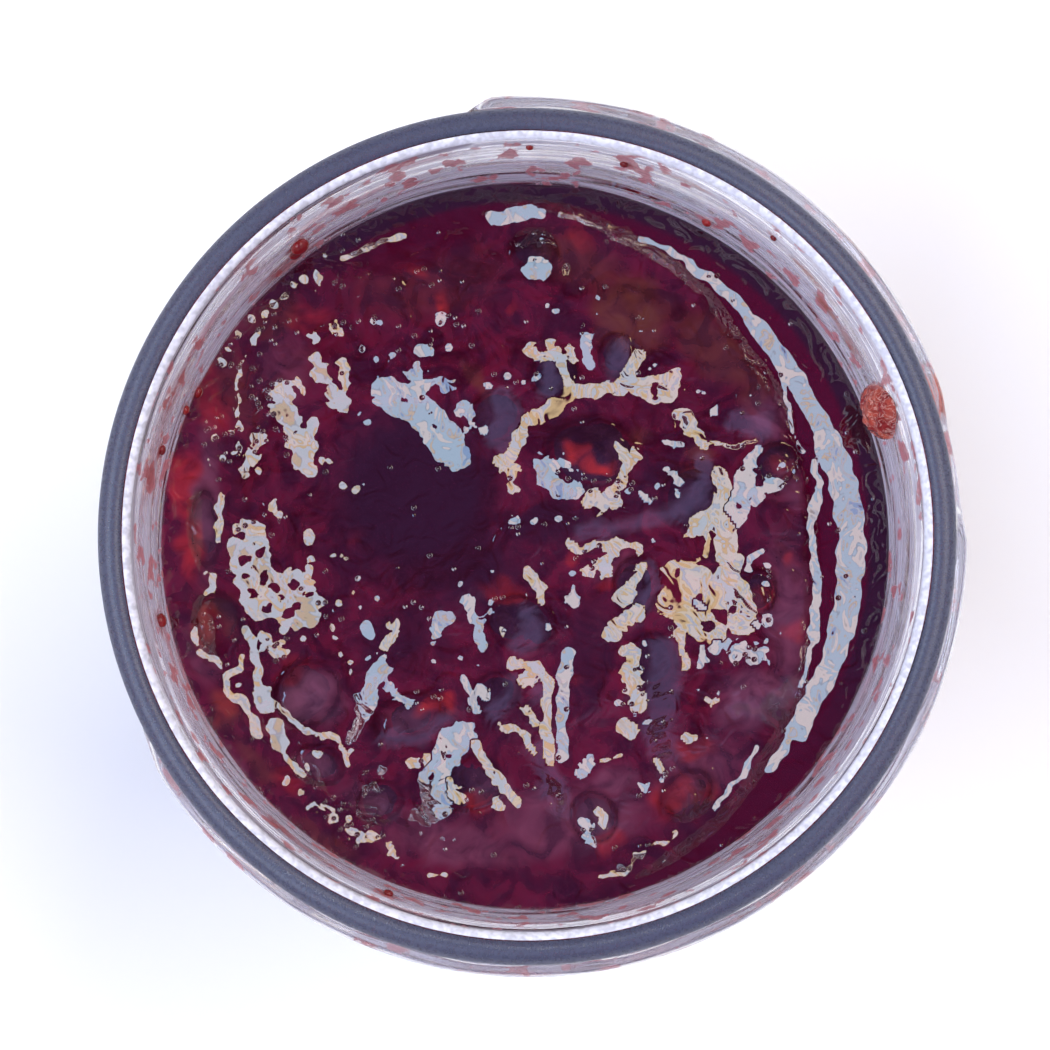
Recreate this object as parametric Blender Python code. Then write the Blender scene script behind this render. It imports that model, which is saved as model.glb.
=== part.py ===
"""An opened jar of cranberry sauce: a threaded glass jar, the sauce in it, whole soft berries and a clot of pulp.

Metres, +Z up. The origin is the centre of the jar's foot, on the surface that it stands on. +Y is away from
the side that the sauce is looked at from.
"""

import math
from collections import namedtuple

import bmesh
import bpy
from mathutils import Matrix, Vector, noise

MM = 0.001
TINY = 0.01 * MM

# The jar's driving sizes
JAR_HEIGHT = 98 * MM
LIP_RADIUS = 39 * MM
BORE_RADIUS = 36 * MM
BODY_RADIUS = 42 * MM
BODY_WALL = 2.8 * MM
BASE_THICKNESS = 5.5 * MM
FINISH_HEIGHT = 17 * MM
SHOULDER_DROP = 8 * MM
BORE_DEPTH = 21.5 * MM
FLARE_DROP = 8.5 * MM
LIP_OUTER_ROUND = 1.4 * MM
LIP_INNER_ROUND = 0.8 * MM
HEEL_ROUND = 6.5 * MM
INNER_HEEL_ROUND = 6 * MM
PUNT_RISE = 2.5 * MM
PUNT_FLAT_RADIUS = 24 * MM
FOOT_INNER_RADIUS = 30.5 * MM
FLOOR_DOME_RISE = 2 * MM
FLOOR_DOME_RADIUS = 18 * MM
JAR_STEPS = 64

# The thread: one turn from its blunt start, clockwise and down, with a low place at the mould seam
THREAD_START = math.radians(100)
THREAD_SWEEP = math.radians(263)
THREAD_STEPS = 54
THREAD_TOP_DEPTH = 4 * MM
THREAD_PITCH = 6 * MM
THREAD_HEIGHT = 1.9 * MM
THREAD_HALF_WIDTH = 1.6 * MM
THREAD_ROOT = 0.8 * MM
THREAD_FLANK_SHARE = 0.82
THREAD_LEAST = 0.15 * MM
BLUNT_START = math.radians(5)
RUN_OUT = math.radians(16)
SEAM_AT = math.radians(91)
SEAM_HALF = math.radians(10)
SEAM_SHARE_LEFT = 0.72

# The sauce
GAP = 0.3 * MM
LEVEL = JAR_HEIGHT - 20.5 * MM
SAUCE_RINGS = 17
RING_CROWDING = 1.15
SAUCE_STEPS = 64
PULP_RELIEF = 1.1 * MM
PULP_SCALE = 6.5 * MM
FINE_PULP_SHARE = 0.6
FINE_PULP_SCALE = 3.2 * MM
FINE_PULP_OFFSET = Vector((0, 0, 9))
MENISCUS_RISE = 1.3 * MM
MENISCUS_WIDTH = 2.6 * MM
POOL_DIP = 1.0 * MM
POOL_BEARING = math.radians(12)
POOL_HALF_ANGLE = math.radians(112)
POOL_INNER_RADIUS = 28.3 * MM
POOL_BANK = 2.2 * MM
POOL_ENDS_SHARE = 0.3
CALM_DIP = 0.5 * MM
CALM_MIDDLE = Vector((-11, 5, 0)) * MM
CALM_RADIUS = 11 * MM
HEAP_RISE = 1.0 * MM
HEAP_BEARING = math.radians(172)
HEAP_HALF_ANGLE = math.radians(48)
HEAP_INNER_RADIUS = 29 * MM

# The berries: place of the middle, length, width, turn of the length from +X in degrees, and rise over the sauce
Berry = namedtuple("Berry", "x y length width turn rise")
BERRIES = [
    Berry(x=-21.7, y=-15.0, length=7.6, width=7.2, turn=40, rise=1.6),
    Berry(x=-11.4, y=-17.1, length=9.6, width=6.0, turn=14, rise=1.3),
    Berry(x=-30.6, y=-8.0, length=7.0, width=5.4, turn=104, rise=1.4),
    Berry(x=-3.0, y=12.6, length=6.2, width=5.8, turn=70, rise=1.4),
    Berry(x=2.9, y=16.8, length=5.4, width=5.0, turn=20, rise=1.3),
    Berry(x=9.1, y=18.8, length=4.8, width=4.0, turn=80, rise=1.2),
    Berry(x=6.4, y=9.0, length=11.2, width=8.4, turn=8, rise=1.8),
    Berry(x=16.8, y=4.6, length=8.2, width=7.4, turn=25, rise=1.6),
    Berry(x=11.0, y=-4.2, length=7.0, width=5.4, turn=75, rise=1.3),
    Berry(x=12.6, y=-11.8, length=6.6, width=6.0, turn=100, rise=1.2),
    Berry(x=-0.4, y=-8.0, length=7.6, width=6.0, turn=165, rise=1.5),
    Berry(x=-3.0, y=-15.0, length=5.4, width=4.6, turn=30, rise=1.3),
    Berry(x=25.0, y=7.9, length=5.0, width=4.4, turn=60, rise=1.1),
    Berry(x=23.0, y=-4.9, length=5.2, width=4.2, turn=85, rise=1.1),
    Berry(x=6.7, y=-27.1, length=5.6, width=5.0, turn=110, rise=1.3),
    Berry(x=-5.6, y=-23.7, length=8.0, width=6.2, turn=10, rise=1.5),
    Berry(x=-20.4, y=-22.0, length=5.4, width=4.2, turn=160, rise=1.3),
    Berry(x=-14.4, y=-25.6, length=5.0, width=4.4, turn=20, rise=1.2),
    Berry(x=-32.0, y=1.6, length=9.4, width=3.6, turn=94, rise=1.3),
    Berry(x=0.8, y=29.4, length=5.4, width=4.6, turn=0, rise=1.1),
    Berry(x=15.8, y=-24.8, length=7.0, width=5.4, turn=35, rise=1.1),
]
BERRY_FLATNESS = 0.84
BERRY_STEPS = 10
BERRY_RINGS = 6
BERRY_UNEVEN = 0.07
BERRY_UNEVEN_SCALE = 3.5 * MM
BERRY_NOISE_STEP = Vector((7.3, 0, 0))

# The clot of pulp that sticks to the inside of the neck
CLOT_BEARING = math.radians(19.5)
CLOT_DEPTH = 6.9 * MM
CLOT_HALF_WIDTH = 2.6 * MM
CLOT_HALF_HEIGHT = 4.7 * MM
CLOT_WALL_SIDE = 0.45 * MM
CLOT_STANDS_OUT = 1.7 * MM
CLOT_FULLER_BELOW = 0.42
CLOT_STEPS = 14
CLOT_RINGS = 10
CLOT_UNEVEN = 0.3 * MM
CLOT_UNEVEN_SCALE = 1.5 * MM


def clear_scene():
    """Removes what the file holds already."""
    for obj in list(bpy.data.objects):
        bpy.data.objects.remove(obj)


def material(name, colour, roughness, transmission=0.0, alpha=1.0):
    """A Principled BSDF in one colour."""
    made = bpy.data.materials.new(name)
    made.use_nodes = True
    shader = made.node_tree.nodes["Principled BSDF"]
    shader.inputs["Base Color"].default_value = (*colour, 1.0)
    shader.inputs["Roughness"].default_value = roughness
    shader.inputs["Metallic"].default_value = 0.0
    shader.inputs["Transmission Weight"].default_value = transmission
    shader.inputs["Alpha"].default_value = alpha
    made.diffuse_color = (*colour, alpha)
    return made


def add_object(name, bm, finish, smooth_deg=None):
    """Links a bmesh to the scene as one named object."""
    bmesh.ops.recalc_face_normals(bm, faces=bm.faces)
    mesh = bpy.data.meshes.new(name)
    bm.to_mesh(mesh)
    bm.free()
    if smooth_deg:
        mesh.shade_smooth()
        mesh.set_sharp_from_angle(angle=math.radians(smooth_deg))
    obj = bpy.data.objects.new(name, mesh)
    obj.data.materials.append(finish)
    bpy.context.scene.collection.objects.link(obj)
    return obj


def apply_boolean(obj, cutters, operation):
    """Joins or cuts obj with the cutters, applies it and removes them."""
    tools = bpy.data.collections.new("tools_of_" + obj.name)
    for cutter in cutters:
        bpy.context.scene.collection.objects.unlink(cutter)
        tools.objects.link(cutter)
    bpy.context.scene.collection.children.link(tools)
    modifier = obj.modifiers.new("boolean", "BOOLEAN")
    modifier.operation = operation
    modifier.solver = "EXACT"
    modifier.operand_type = "COLLECTION"
    modifier.collection = tools
    graph = bpy.context.evaluated_depsgraph_get()
    result = bpy.data.meshes.new_from_object(obj.evaluated_get(graph))
    obj.modifiers.clear()
    obj.data = result
    for cutter in cutters:
        bpy.data.objects.remove(cutter)
    bpy.data.collections.remove(tools)


def bump_window(angle, middle, half):
    """1 at a bearing and 0 beyond half an angle either side, smooth between."""
    away = abs((angle - middle + math.pi) % math.tau - math.pi) / half
    return 0.0 if away >= 1 else (1 + math.cos(math.pi * away)) / 2


def ramp(value, start, end):
    """0 before start and 1 after end, smooth between."""
    t = min(1.0, max(0.0, (value - start) / (end - start)))
    return t * t * (3 - 2 * t)


def arc(centre_r, centre_z, radius, start_deg, end_deg, steps):
    """Points (r, z) on a round stretch of a profile."""
    return [
        (
            centre_r + radius * math.cos(math.radians(start_deg + (end_deg - start_deg) * i / steps)),
            centre_z + radius * math.sin(math.radians(start_deg + (end_deg - start_deg) * i / steps)),
        )
        for i in range(steps + 1)
    ]


def s_curve(start, end, steps):
    """Points (r, z) on a smooth step between two heights that leaves and arrives upright or level."""
    points = []
    for i in range(steps + 1):
        t = i / steps
        ease = t * t * (3 - 2 * t)
        points.append((start[0] + (end[0] - start[0]) * ease, start[1] + (end[1] - start[1]) * t))
    return points


def dome(start, end, steps):
    """Points (r, z) on a smooth rise between two radii, level at both ends."""
    return [(r, z) for z, r in s_curve((start[1], start[0]), (end[1], end[0]), steps)]


def turned(profile, steps):
    """A closed solid of revolution from (r, z) points that start and end on the axis."""
    bm = bmesh.new()
    points = [bm.verts.new((r, 0, z)) for r, z in profile]
    edges = [bm.edges.new(pair) for pair in zip(points, points[1:])]
    bmesh.ops.spin(
        bm, geom=points + edges, cent=(0, 0, 0), axis=(0, 0, 1), angle=math.tau, steps=steps, use_merge=True
    )
    bmesh.ops.remove_doubles(bm, verts=bm.verts, dist=TINY)
    return bm


def inner_wall(gap):
    """The hollow's profile from the bore's lower end down to the middle of the floor, gap clear of the glass."""
    bore = BORE_RADIUS - gap
    body = BODY_RADIUS - BODY_WALL - gap
    floor = BASE_THICKNESS + gap
    heel = INNER_HEEL_ROUND - gap
    flare_top = JAR_HEIGHT - BORE_DEPTH
    profile = s_curve((bore, flare_top), (body, flare_top - FLARE_DROP), 4)
    profile += arc(body - heel, floor + heel, heel, 0, -90, 3)
    profile += dome((body - heel, floor), (FLOOR_DOME_RADIUS, floor + FLOOR_DOME_RISE), 2)[1:]
    profile.append((0.0, floor + FLOOR_DOME_RISE))
    return profile


def glass_profile():
    """The jar's section: under the foot, up the outside, over the lip and down the inside."""
    profile = [(0.0, PUNT_RISE)]
    profile += dome((PUNT_FLAT_RADIUS, PUNT_RISE), (FOOT_INNER_RADIUS, 0.0), 3)
    profile += arc(BODY_RADIUS - HEEL_ROUND, HEEL_ROUND, HEEL_ROUND, -90, 0, 4)
    shoulder_top = JAR_HEIGHT - FINISH_HEIGHT
    profile += s_curve((BODY_RADIUS, shoulder_top - SHOULDER_DROP), (LIP_RADIUS, shoulder_top), 4)
    profile += arc(LIP_RADIUS - LIP_OUTER_ROUND, JAR_HEIGHT - LIP_OUTER_ROUND, LIP_OUTER_ROUND, 0, 90, 3)
    profile += arc(BORE_RADIUS + LIP_INNER_ROUND, JAR_HEIGHT - LIP_INNER_ROUND, LIP_INNER_ROUND, 90, 180, 2)
    return profile + inner_wall(0.0)


def thread_share(turned_by):
    """How high the thread stands, as a share, at an angle along it from its start."""
    rise = min(1.0, turned_by / BLUNT_START)
    fall = min(1.0, (THREAD_SWEEP - turned_by) / RUN_OUT)
    seam = 1.0 - ramp(abs(turned_by - SEAM_AT), SEAM_HALF / 2, SEAM_HALF)
    return max(0.0, min(rise, fall)) * (1.0 - (1.0 - SEAM_SHARE_LEFT) * seam)


def make_thread(finish):
    """The thread as a swept ridge that starts inside the neck's wall."""
    section = [
        (-THREAD_ROOT, -THREAD_HALF_WIDTH),
        (0.0, -THREAD_HALF_WIDTH),
        (THREAD_FLANK_SHARE * THREAD_HEIGHT, -THREAD_HALF_WIDTH / 2),
        (THREAD_HEIGHT, 0.0),
        (THREAD_FLANK_SHARE * THREAD_HEIGHT, THREAD_HALF_WIDTH / 2),
        (0.0, THREAD_HALF_WIDTH),
        (-THREAD_ROOT, THREAD_HALF_WIDTH),
    ]
    bm = bmesh.new()
    top = JAR_HEIGHT - THREAD_TOP_DEPTH
    points = [bm.verts.new((LIP_RADIUS + out, 0, top + up)) for out, up in section]
    edges = [bm.edges.new((a, b)) for a, b in zip(points, points[1:] + points[:1])]
    drop = THREAD_PITCH * THREAD_SWEEP / math.tau / THREAD_STEPS
    bmesh.ops.spin(
        bm,
        geom=points + edges,
        cent=(0, 0, 0),
        axis=(0, 0, -1),
        dvec=(0, 0, -drop),
        angle=THREAD_SWEEP,
        steps=THREAD_STEPS,
    )
    bmesh.ops.holes_fill(bm, edges=[e for e in bm.edges if e.is_boundary])
    for vert in bm.verts:
        turned_by = -math.atan2(vert.co.y, vert.co.x) % math.tau
        if turned_by > THREAD_SWEEP + BLUNT_START:
            turned_by = 0.0
        radius = math.hypot(vert.co.x, vert.co.y)
        if radius > LIP_RADIUS + TINY:
            stands = THREAD_LEAST + (radius - LIP_RADIUS) * thread_share(turned_by)
            scale = (LIP_RADIUS + stands) / radius
            vert.co.x *= scale
            vert.co.y *= scale
    bmesh.ops.rotate(bm, verts=bm.verts, cent=(0, 0, 0), matrix=Matrix.Rotation(THREAD_START, 3, "Z"))
    return add_object("thread", bm, finish)


def make_jar(finish):
    """The glass jar with its thread joined on."""
    jar = add_object("glass_jar", turned(glass_profile(), JAR_STEPS), finish, smooth_deg=40)
    apply_boolean(jar, [make_thread(finish)], "UNION")
    return jar


def sauce_level(x, y):
    """The sauce's surface without its lumps: a smooth pool round one side, a calm patch, a heap, a lip at the glass."""
    radius = math.hypot(x, y)
    bearing = math.atan2(y, x)
    wall = BORE_RADIUS - GAP
    pool = pool_share(x, y)
    calm = calm_share(x, y)
    heap = bump_window(bearing, HEAP_BEARING, HEAP_HALF_ANGLE) * ramp(radius, HEAP_INNER_RADIUS, wall)
    meniscus = MENISCUS_RISE * ramp(radius, wall - MENISCUS_WIDTH, wall) ** 2
    return LEVEL - POOL_DIP * pool - CALM_DIP * calm + HEAP_RISE * heap + meniscus


def pool_share(x, y):
    """1 in the pool of clear syrup between the pulp and the glass, and 0 on the pulp."""
    wall = BORE_RADIUS - GAP
    width = bump_window(math.atan2(y, x), POOL_BEARING, POOL_HALF_ANGLE)
    bank = wall - (wall - POOL_INNER_RADIUS) * width
    return ramp(math.hypot(x, y), bank - POOL_BANK / 2, bank + POOL_BANK / 2) * ramp(width, 0, POOL_ENDS_SHARE)


def calm_share(x, y):
    """1 in the flat patch of syrup off the middle, and 0 outside it."""
    return 1 - ramp(math.hypot(x - CALM_MIDDLE.x, y - CALM_MIDDLE.y), CALM_RADIUS / 2, CALM_RADIUS)


def clear_of_berries(x, y):
    """0 on a berry, and 1 once well clear of all of them."""
    share = 1.0
    for berry in BERRIES:
        half = (berry.length + berry.width) * MM / 4
        share *= ramp(math.hypot(x - berry.x * MM, y - berry.y * MM), 0.9 * half, 1.5 * half)
    return share


def sauce_height(x, y):
    """The sauce's surface with the lumps of its pulp."""
    lumps = noise.noise(Vector((x, y, 0)) / PULP_SCALE)
    lumps += FINE_PULP_SHARE * noise.noise(Vector((x, y, 0)) / FINE_PULP_SCALE + FINE_PULP_OFFSET)
    pulp = (1 - pool_share(x, y)) * (1 - calm_share(x, y)) * clear_of_berries(x, y)
    return sauce_level(x, y) + PULP_RELIEF * lumps * pulp


def berry_mesh(berry, grow, index):
    """One soft berry's skin, grow larger all round, a little uneven."""
    half_length = berry.length * MM / 2
    half_width = berry.width * MM / 2
    half_height = BERRY_FLATNESS * (half_length + half_width) / 2
    bm = bmesh.new()
    bmesh.ops.create_uvsphere(bm, u_segments=BERRY_STEPS, v_segments=BERRY_RINGS, radius=1.0)
    for vert in bm.verts:
        way = vert.co.normalized()
        surface = Vector((way.x * half_length, way.y * half_width, way.z * half_height))
        uneven = noise.noise(surface / BERRY_UNEVEN_SCALE + index * BERRY_NOISE_STEP)
        vert.co = surface * (1 + BERRY_UNEVEN * uneven) + way * grow
    top = sauce_level(berry.x * MM, berry.y * MM) + berry.rise * MM
    place = Matrix.Translation((berry.x * MM, berry.y * MM, top - half_height))
    turn = Matrix.Rotation(math.radians(berry.turn), 4, "Z")
    bmesh.ops.transform(bm, matrix=place @ turn, verts=bm.verts)
    return bm


def make_berries(finish):
    """Each whole berry that shows, as its own object."""
    for index, berry in enumerate(BERRIES):
        add_object(f"berry_{index + 1:02d}", berry_mesh(berry, 0.0, index), finish, smooth_deg=60)


def make_sauce(finish):
    """The sauce up to its surface, with a socket for each berry."""
    wall = BORE_RADIUS - GAP
    top = [(wall * (1 - (i / SAUCE_RINGS) ** RING_CROWDING), LEVEL) for i in range(SAUCE_RINGS)]
    profile = [(0.0, LEVEL)] + top[::-1] + inner_wall(GAP)
    bm = turned(profile, SAUCE_STEPS)
    for vert in bm.verts:
        if abs(vert.co.z - LEVEL) < TINY:
            vert.co.z = sauce_height(vert.co.x, vert.co.y)
    sauce = add_object("sauce", bm, finish, smooth_deg=60)
    sockets = [
        add_object(f"socket_{i:02d}", berry_mesh(berry, GAP, i), finish) for i, berry in enumerate(BERRIES)
    ]
    apply_boolean(sauce, sockets, "DIFFERENCE")
    return sauce


def make_clot(finish):
    """The clot of pulp on the neck's wall: it follows the glass behind and is fuller towards its lower end."""
    bm = bmesh.new()
    bmesh.ops.create_uvsphere(bm, u_segments=CLOT_STEPS, v_segments=CLOT_RINGS, radius=1.0)
    for vert in bm.verts:
        way = vert.co.normalized()
        fuller = 1.0 - CLOT_FULLER_BELOW * way.z
        across = way.y * CLOT_HALF_WIDTH * fuller
        outward = way.x * (CLOT_WALL_SIDE if way.x > 0 else CLOT_STANDS_OUT * fuller)
        if way.x < 0:
            outward += CLOT_UNEVEN * way.x * noise.noise(way * CLOT_HALF_HEIGHT / CLOT_UNEVEN_SCALE)
        radius = BORE_RADIUS - GAP - CLOT_WALL_SIDE + outward
        bearing = CLOT_BEARING + across / radius
        height = JAR_HEIGHT - CLOT_DEPTH + way.z * CLOT_HALF_HEIGHT
        vert.co = (radius * math.cos(bearing), radius * math.sin(bearing), height)
    return add_object("pulp_clot", bm, finish, smooth_deg=60)


def main():
    """Builds the jar and what is in it."""
    clear_scene()
    glass = material("clear_glass", (0.86, 0.90, 0.93), 0.04, transmission=1.0, alpha=0.35)
    sauce = material("cranberry_sauce", (0.12, 0.006, 0.02), 0.08)
    skin = material("berry_skin", (0.14, 0.012, 0.03), 0.12)
    pulp = material("berry_pulp", (0.55, 0.06, 0.035), 0.2)
    make_jar(glass)
    make_sauce(sauce)
    make_berries(skin)
    make_clot(pulp)


main()
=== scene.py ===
"""The looks of an opened jar of cranberry sauce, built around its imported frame.

Metres, +Z up, in the frame's own place. Sizes below are real ones, in millimetres times MM.
"""

import logging
import math
from dataclasses import dataclass, field
from enum import Enum
from typing import Iterable, Sequence

import bmesh
import bpy
import numpy as np
from mathutils import Matrix, Vector, noise

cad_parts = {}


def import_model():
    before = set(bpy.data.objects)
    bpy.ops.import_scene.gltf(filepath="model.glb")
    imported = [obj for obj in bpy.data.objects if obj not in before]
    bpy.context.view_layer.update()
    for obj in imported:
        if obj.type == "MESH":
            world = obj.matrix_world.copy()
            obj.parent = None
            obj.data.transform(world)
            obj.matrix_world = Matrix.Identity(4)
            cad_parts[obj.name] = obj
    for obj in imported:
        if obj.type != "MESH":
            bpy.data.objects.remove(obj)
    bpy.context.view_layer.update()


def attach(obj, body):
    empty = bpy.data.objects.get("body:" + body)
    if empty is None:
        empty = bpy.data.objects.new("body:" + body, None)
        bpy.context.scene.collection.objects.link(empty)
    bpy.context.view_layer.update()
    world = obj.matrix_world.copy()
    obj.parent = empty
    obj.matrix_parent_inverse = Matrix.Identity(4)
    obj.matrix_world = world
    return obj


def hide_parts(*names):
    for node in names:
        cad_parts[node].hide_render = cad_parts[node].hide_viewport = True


log = logging.getLogger("cranberry_jar")

MM = 0.001
TINY = 0.01 * MM
BODY = "root"
Colour = tuple[float, float, float]
BORE_MM = 36.0
BLOT_CORE, BLOT_EDGE = 0.4, 1.25
BERRY_FLATNESS = 0.84
SMEAR_WIDENED, SMEAR_LENGTHENED = 1.35, 1.9
DOT_RAGGED, DOTS_BY_THE_LEFT_WALL = 0.35, -17.0
Point = tuple[float, float]
Scales = tuple[float, float, float]


def ramp(value: np.ndarray, start: float, end: float) -> np.ndarray:
    """Gives 0 before start and 1 after end, smooth between.

    Args:
        value: The numbers to place on the ramp.
        start: Where the ramp leaves 0.
        end: Where it reaches 1.

    Returns:
        Shares from 0 to 1.
    """
    share = np.clip((value - start) / (end - start), 0.0, 1.0)
    return share * share * (3.0 - 2.0 * share)


def bearing_window(bearing: np.ndarray, middle_deg: float, half_deg: float) -> np.ndarray:
    """Gives 1 at a bearing and 0 beyond half an angle either side.

    Args:
        bearing: Bearings in radians.
        middle_deg: The bearing that gets 1, in degrees.
        half_deg: How far the window reaches to each side, in degrees.

    Returns:
        Shares from 0 to 1.
    """
    turned_by = (bearing - math.radians(middle_deg) + math.pi) % math.tau - math.pi
    away = np.abs(turned_by) / math.radians(half_deg)
    return np.where(away < 1.0, (1.0 + np.cos(math.pi * np.minimum(away, 1.0))) / 2.0, 0.0)


def smooth_max(first: np.ndarray, second: np.ndarray, blend: float) -> np.ndarray:
    """Takes the higher of two surfaces, with a round fillet where they meet.

    Args:
        first: Heights of one surface.
        second: Heights of the other.
        blend: How far apart the surfaces are where the fillet ends.

    Returns:
        Heights of the joined surface.
    """
    near = np.clip(blend - np.abs(first - second), 0.0, None) / blend
    return np.maximum(first, second) + near * near * blend / 4.0


@dataclass
class PlaneNoise:
    """Smooth seeded noise over the plane, between about -1 and 1."""

    seed: int
    size: float
    cells: int = 256
    gain: float = 1.5
    leans: np.ndarray = field(init=False)

    def __post_init__(self) -> None:
        """Draws a lean for each corner of the lattice."""
        angles = np.random.default_rng(self.seed).uniform(0.0, math.tau, (self.cells, self.cells))
        self.leans = np.stack((np.cos(angles), np.sin(angles)), axis=-1)

    def at(self, x: np.ndarray, y: np.ndarray) -> np.ndarray:
        """Reads the noise at points of the plane.

        Args:
            x: Places along X, in metres.
            y: Places along Y, in metres.

        Returns:
            One value for each point.
        """
        across, up = x / self.size, y / self.size
        column, row = np.floor(across).astype(int), np.floor(up).astype(int)
        u, v = across - column, up - row
        total = np.zeros_like(u)
        for step_x in (0, 1):
            for step_y in (0, 1):
                lean = self.leans[(column + step_x) % self.cells, (row + step_y) % self.cells]
                pull = lean[..., 0] * (u - step_x) + lean[..., 1] * (v - step_y)
                share_x = ramp(u, 0.0, 1.0) if step_x else 1.0 - ramp(u, 0.0, 1.0)
                share_y = ramp(v, 0.0, 1.0) if step_y else 1.0 - ramp(v, 0.0, 1.0)
                total += pull * share_x * share_y
        return total * self.gain


def distance_to_path(x: np.ndarray, y: np.ndarray, path: Sequence[Point]) -> np.ndarray:
    """Measures how far each point lies from a line of straight stretches.

    Args:
        x: Places along X, in metres.
        y: Places along Y, in metres.
        path: The line's corners, in millimetres.

    Returns:
        The distances, in metres.
    """
    best = np.full_like(x, np.inf)
    corners = [(a * MM, b * MM) for a, b in path]
    for start, end in zip(corners, corners[1:] or corners):
        run_x, run_y = end[0] - start[0], end[1] - start[1]
        length = max(run_x * run_x + run_y * run_y, TINY * TINY)
        share = np.clip(((x - start[0]) * run_x + (y - start[1]) * run_y) / length, 0.0, 1.0)
        best = np.minimum(best, np.hypot(x - start[0] - share * run_x, y - start[1] - share * run_y))
    return best


def out_of_oval(
    x: np.ndarray, y: np.ndarray, middle: Point, half_sizes: Point, turn_deg: float
) -> np.ndarray:
    """Measures how far out of an oval's middle each point lies, where 1 is its edge.

    Args:
        x: Places along X, in metres.
        y: Places along Y, in metres.
        middle: The oval's middle, in millimetres.
        half_sizes: Half its length and half its width, in millimetres.
        turn_deg: The turn of its length from +X, in degrees.

    Returns:
        One number for each point.
    """
    angle = math.radians(turn_deg)
    gap_x, gap_y = x - middle[0] * MM, y - middle[1] * MM
    along = (gap_x * math.cos(angle) + gap_y * math.sin(angle)) / (half_sizes[0] * MM)
    across = (gap_y * math.cos(angle) - gap_x * math.sin(angle)) / (half_sizes[1] * MM)
    return np.hypot(along, across)


def unit_rows(rows: np.ndarray) -> np.ndarray:
    """Scales each row to length 1."""
    return rows / np.linalg.norm(rows, axis=1)[:, None]


class Tint(Enum):
    """What a patch of the sauce is made of, by the name of the mask that colours it; some masks carry painted
    shade, and one a painted highlight.
    """

    RED_PULP = "red_pulp"
    BROWN_FOAM = "brown_foam"
    MAUVE_PULP = "mauve_pulp"
    CLEAR_SYRUP = "clear_syrup"
    GRAIN = "grain"
    # Partly the darker flat patches of syrup, partly painted shade in a band along the glass.
    CALM = "calm"
    # Painted shade where the sauce meets a berry.
    VALLEY = "valley"


class Mirrored(Enum):
    """What a leaning stretch of syrup mirrors: a bearing, an angle from straight up and a crispness."""

    SKY = (196.0, 33.0, 1.0)
    PALE_SKY = (200.0, 37.5, 1.0)
    CREAM = (28.0, 34.0, 1.0)
    GOLD = (30.0, 27.0, 1.0)
    COOL = (26.0, 40.0, 1.0)
    LILAC = (305.0, 34.0, 0.07)

    @property
    def way(self) -> tuple[float, float, float]:
        """The unit vector towards it."""
        bearing, lean = (math.radians(angle) for angle in self.value[:2])
        return math.sin(lean) * math.cos(bearing), math.sin(lean) * math.sin(bearing), math.cos(lean)

    @property
    def crispness(self) -> float:
        """How sharp the edge of its glints is, from 0 to 1."""
        return self.value[2]


@dataclass(frozen=True)
class Blot:
    """A soft-edged oval patch of one tint on the sauce. Millimetres and degrees."""

    tint: Tint
    x: float
    y: float
    half_length: float
    half_width: float
    turn: float = 0.0
    strength: float = 1.0

    def share(self, x: np.ndarray, y: np.ndarray) -> np.ndarray:
        """Gives the patch's strength at each point.

        Args:
            x: Places along X, in metres.
            y: Places along Y, in metres.

        Returns:
            The strength in the middle, and 0 outside.
        """
        out = out_of_oval(x, y, (self.x, self.y), (self.half_length, self.half_width), self.turn)
        return self.strength * (1.0 - ramp(out, BLOT_CORE, BLOT_EDGE))


@dataclass(frozen=True)
class Glint:
    """A stretch of the syrup film that leans to one side and so shines. Millimetres."""

    mirrored: Mirrored
    half_width: float
    path: tuple[Point, ...]
    ragged: float = 1.0

    def near(self, x: np.ndarray, y: np.ndarray, margin: float) -> np.ndarray:
        """Finds the points round the stretch.

        Args:
            x: Places along X, in metres.
            y: Places along Y, in metres.
            margin: How far past its edge a point still counts, in metres.

        Returns:
            The points' numbers.
        """
        reach = self.half_width * MM + margin
        across, up = zip(*self.path)
        inside = (x > min(across) * MM - reach) & (x < max(across) * MM + reach)
        inside &= (y > min(up) * MM - reach) & (y < max(up) * MM + reach)
        return np.flatnonzero(inside)


@dataclass(frozen=True)
class Berry:
    """One soft berry: its middle, length, width, turn of the length from +X, and rise over the sauce."""

    x: float
    y: float
    length: float
    width: float
    turn: float
    rise: float

    @property
    def half_height(self) -> float:
        """Half the berry's height, in metres."""
        return BERRY_FLATNESS * (self.length + self.width) * MM / 4.0


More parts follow.
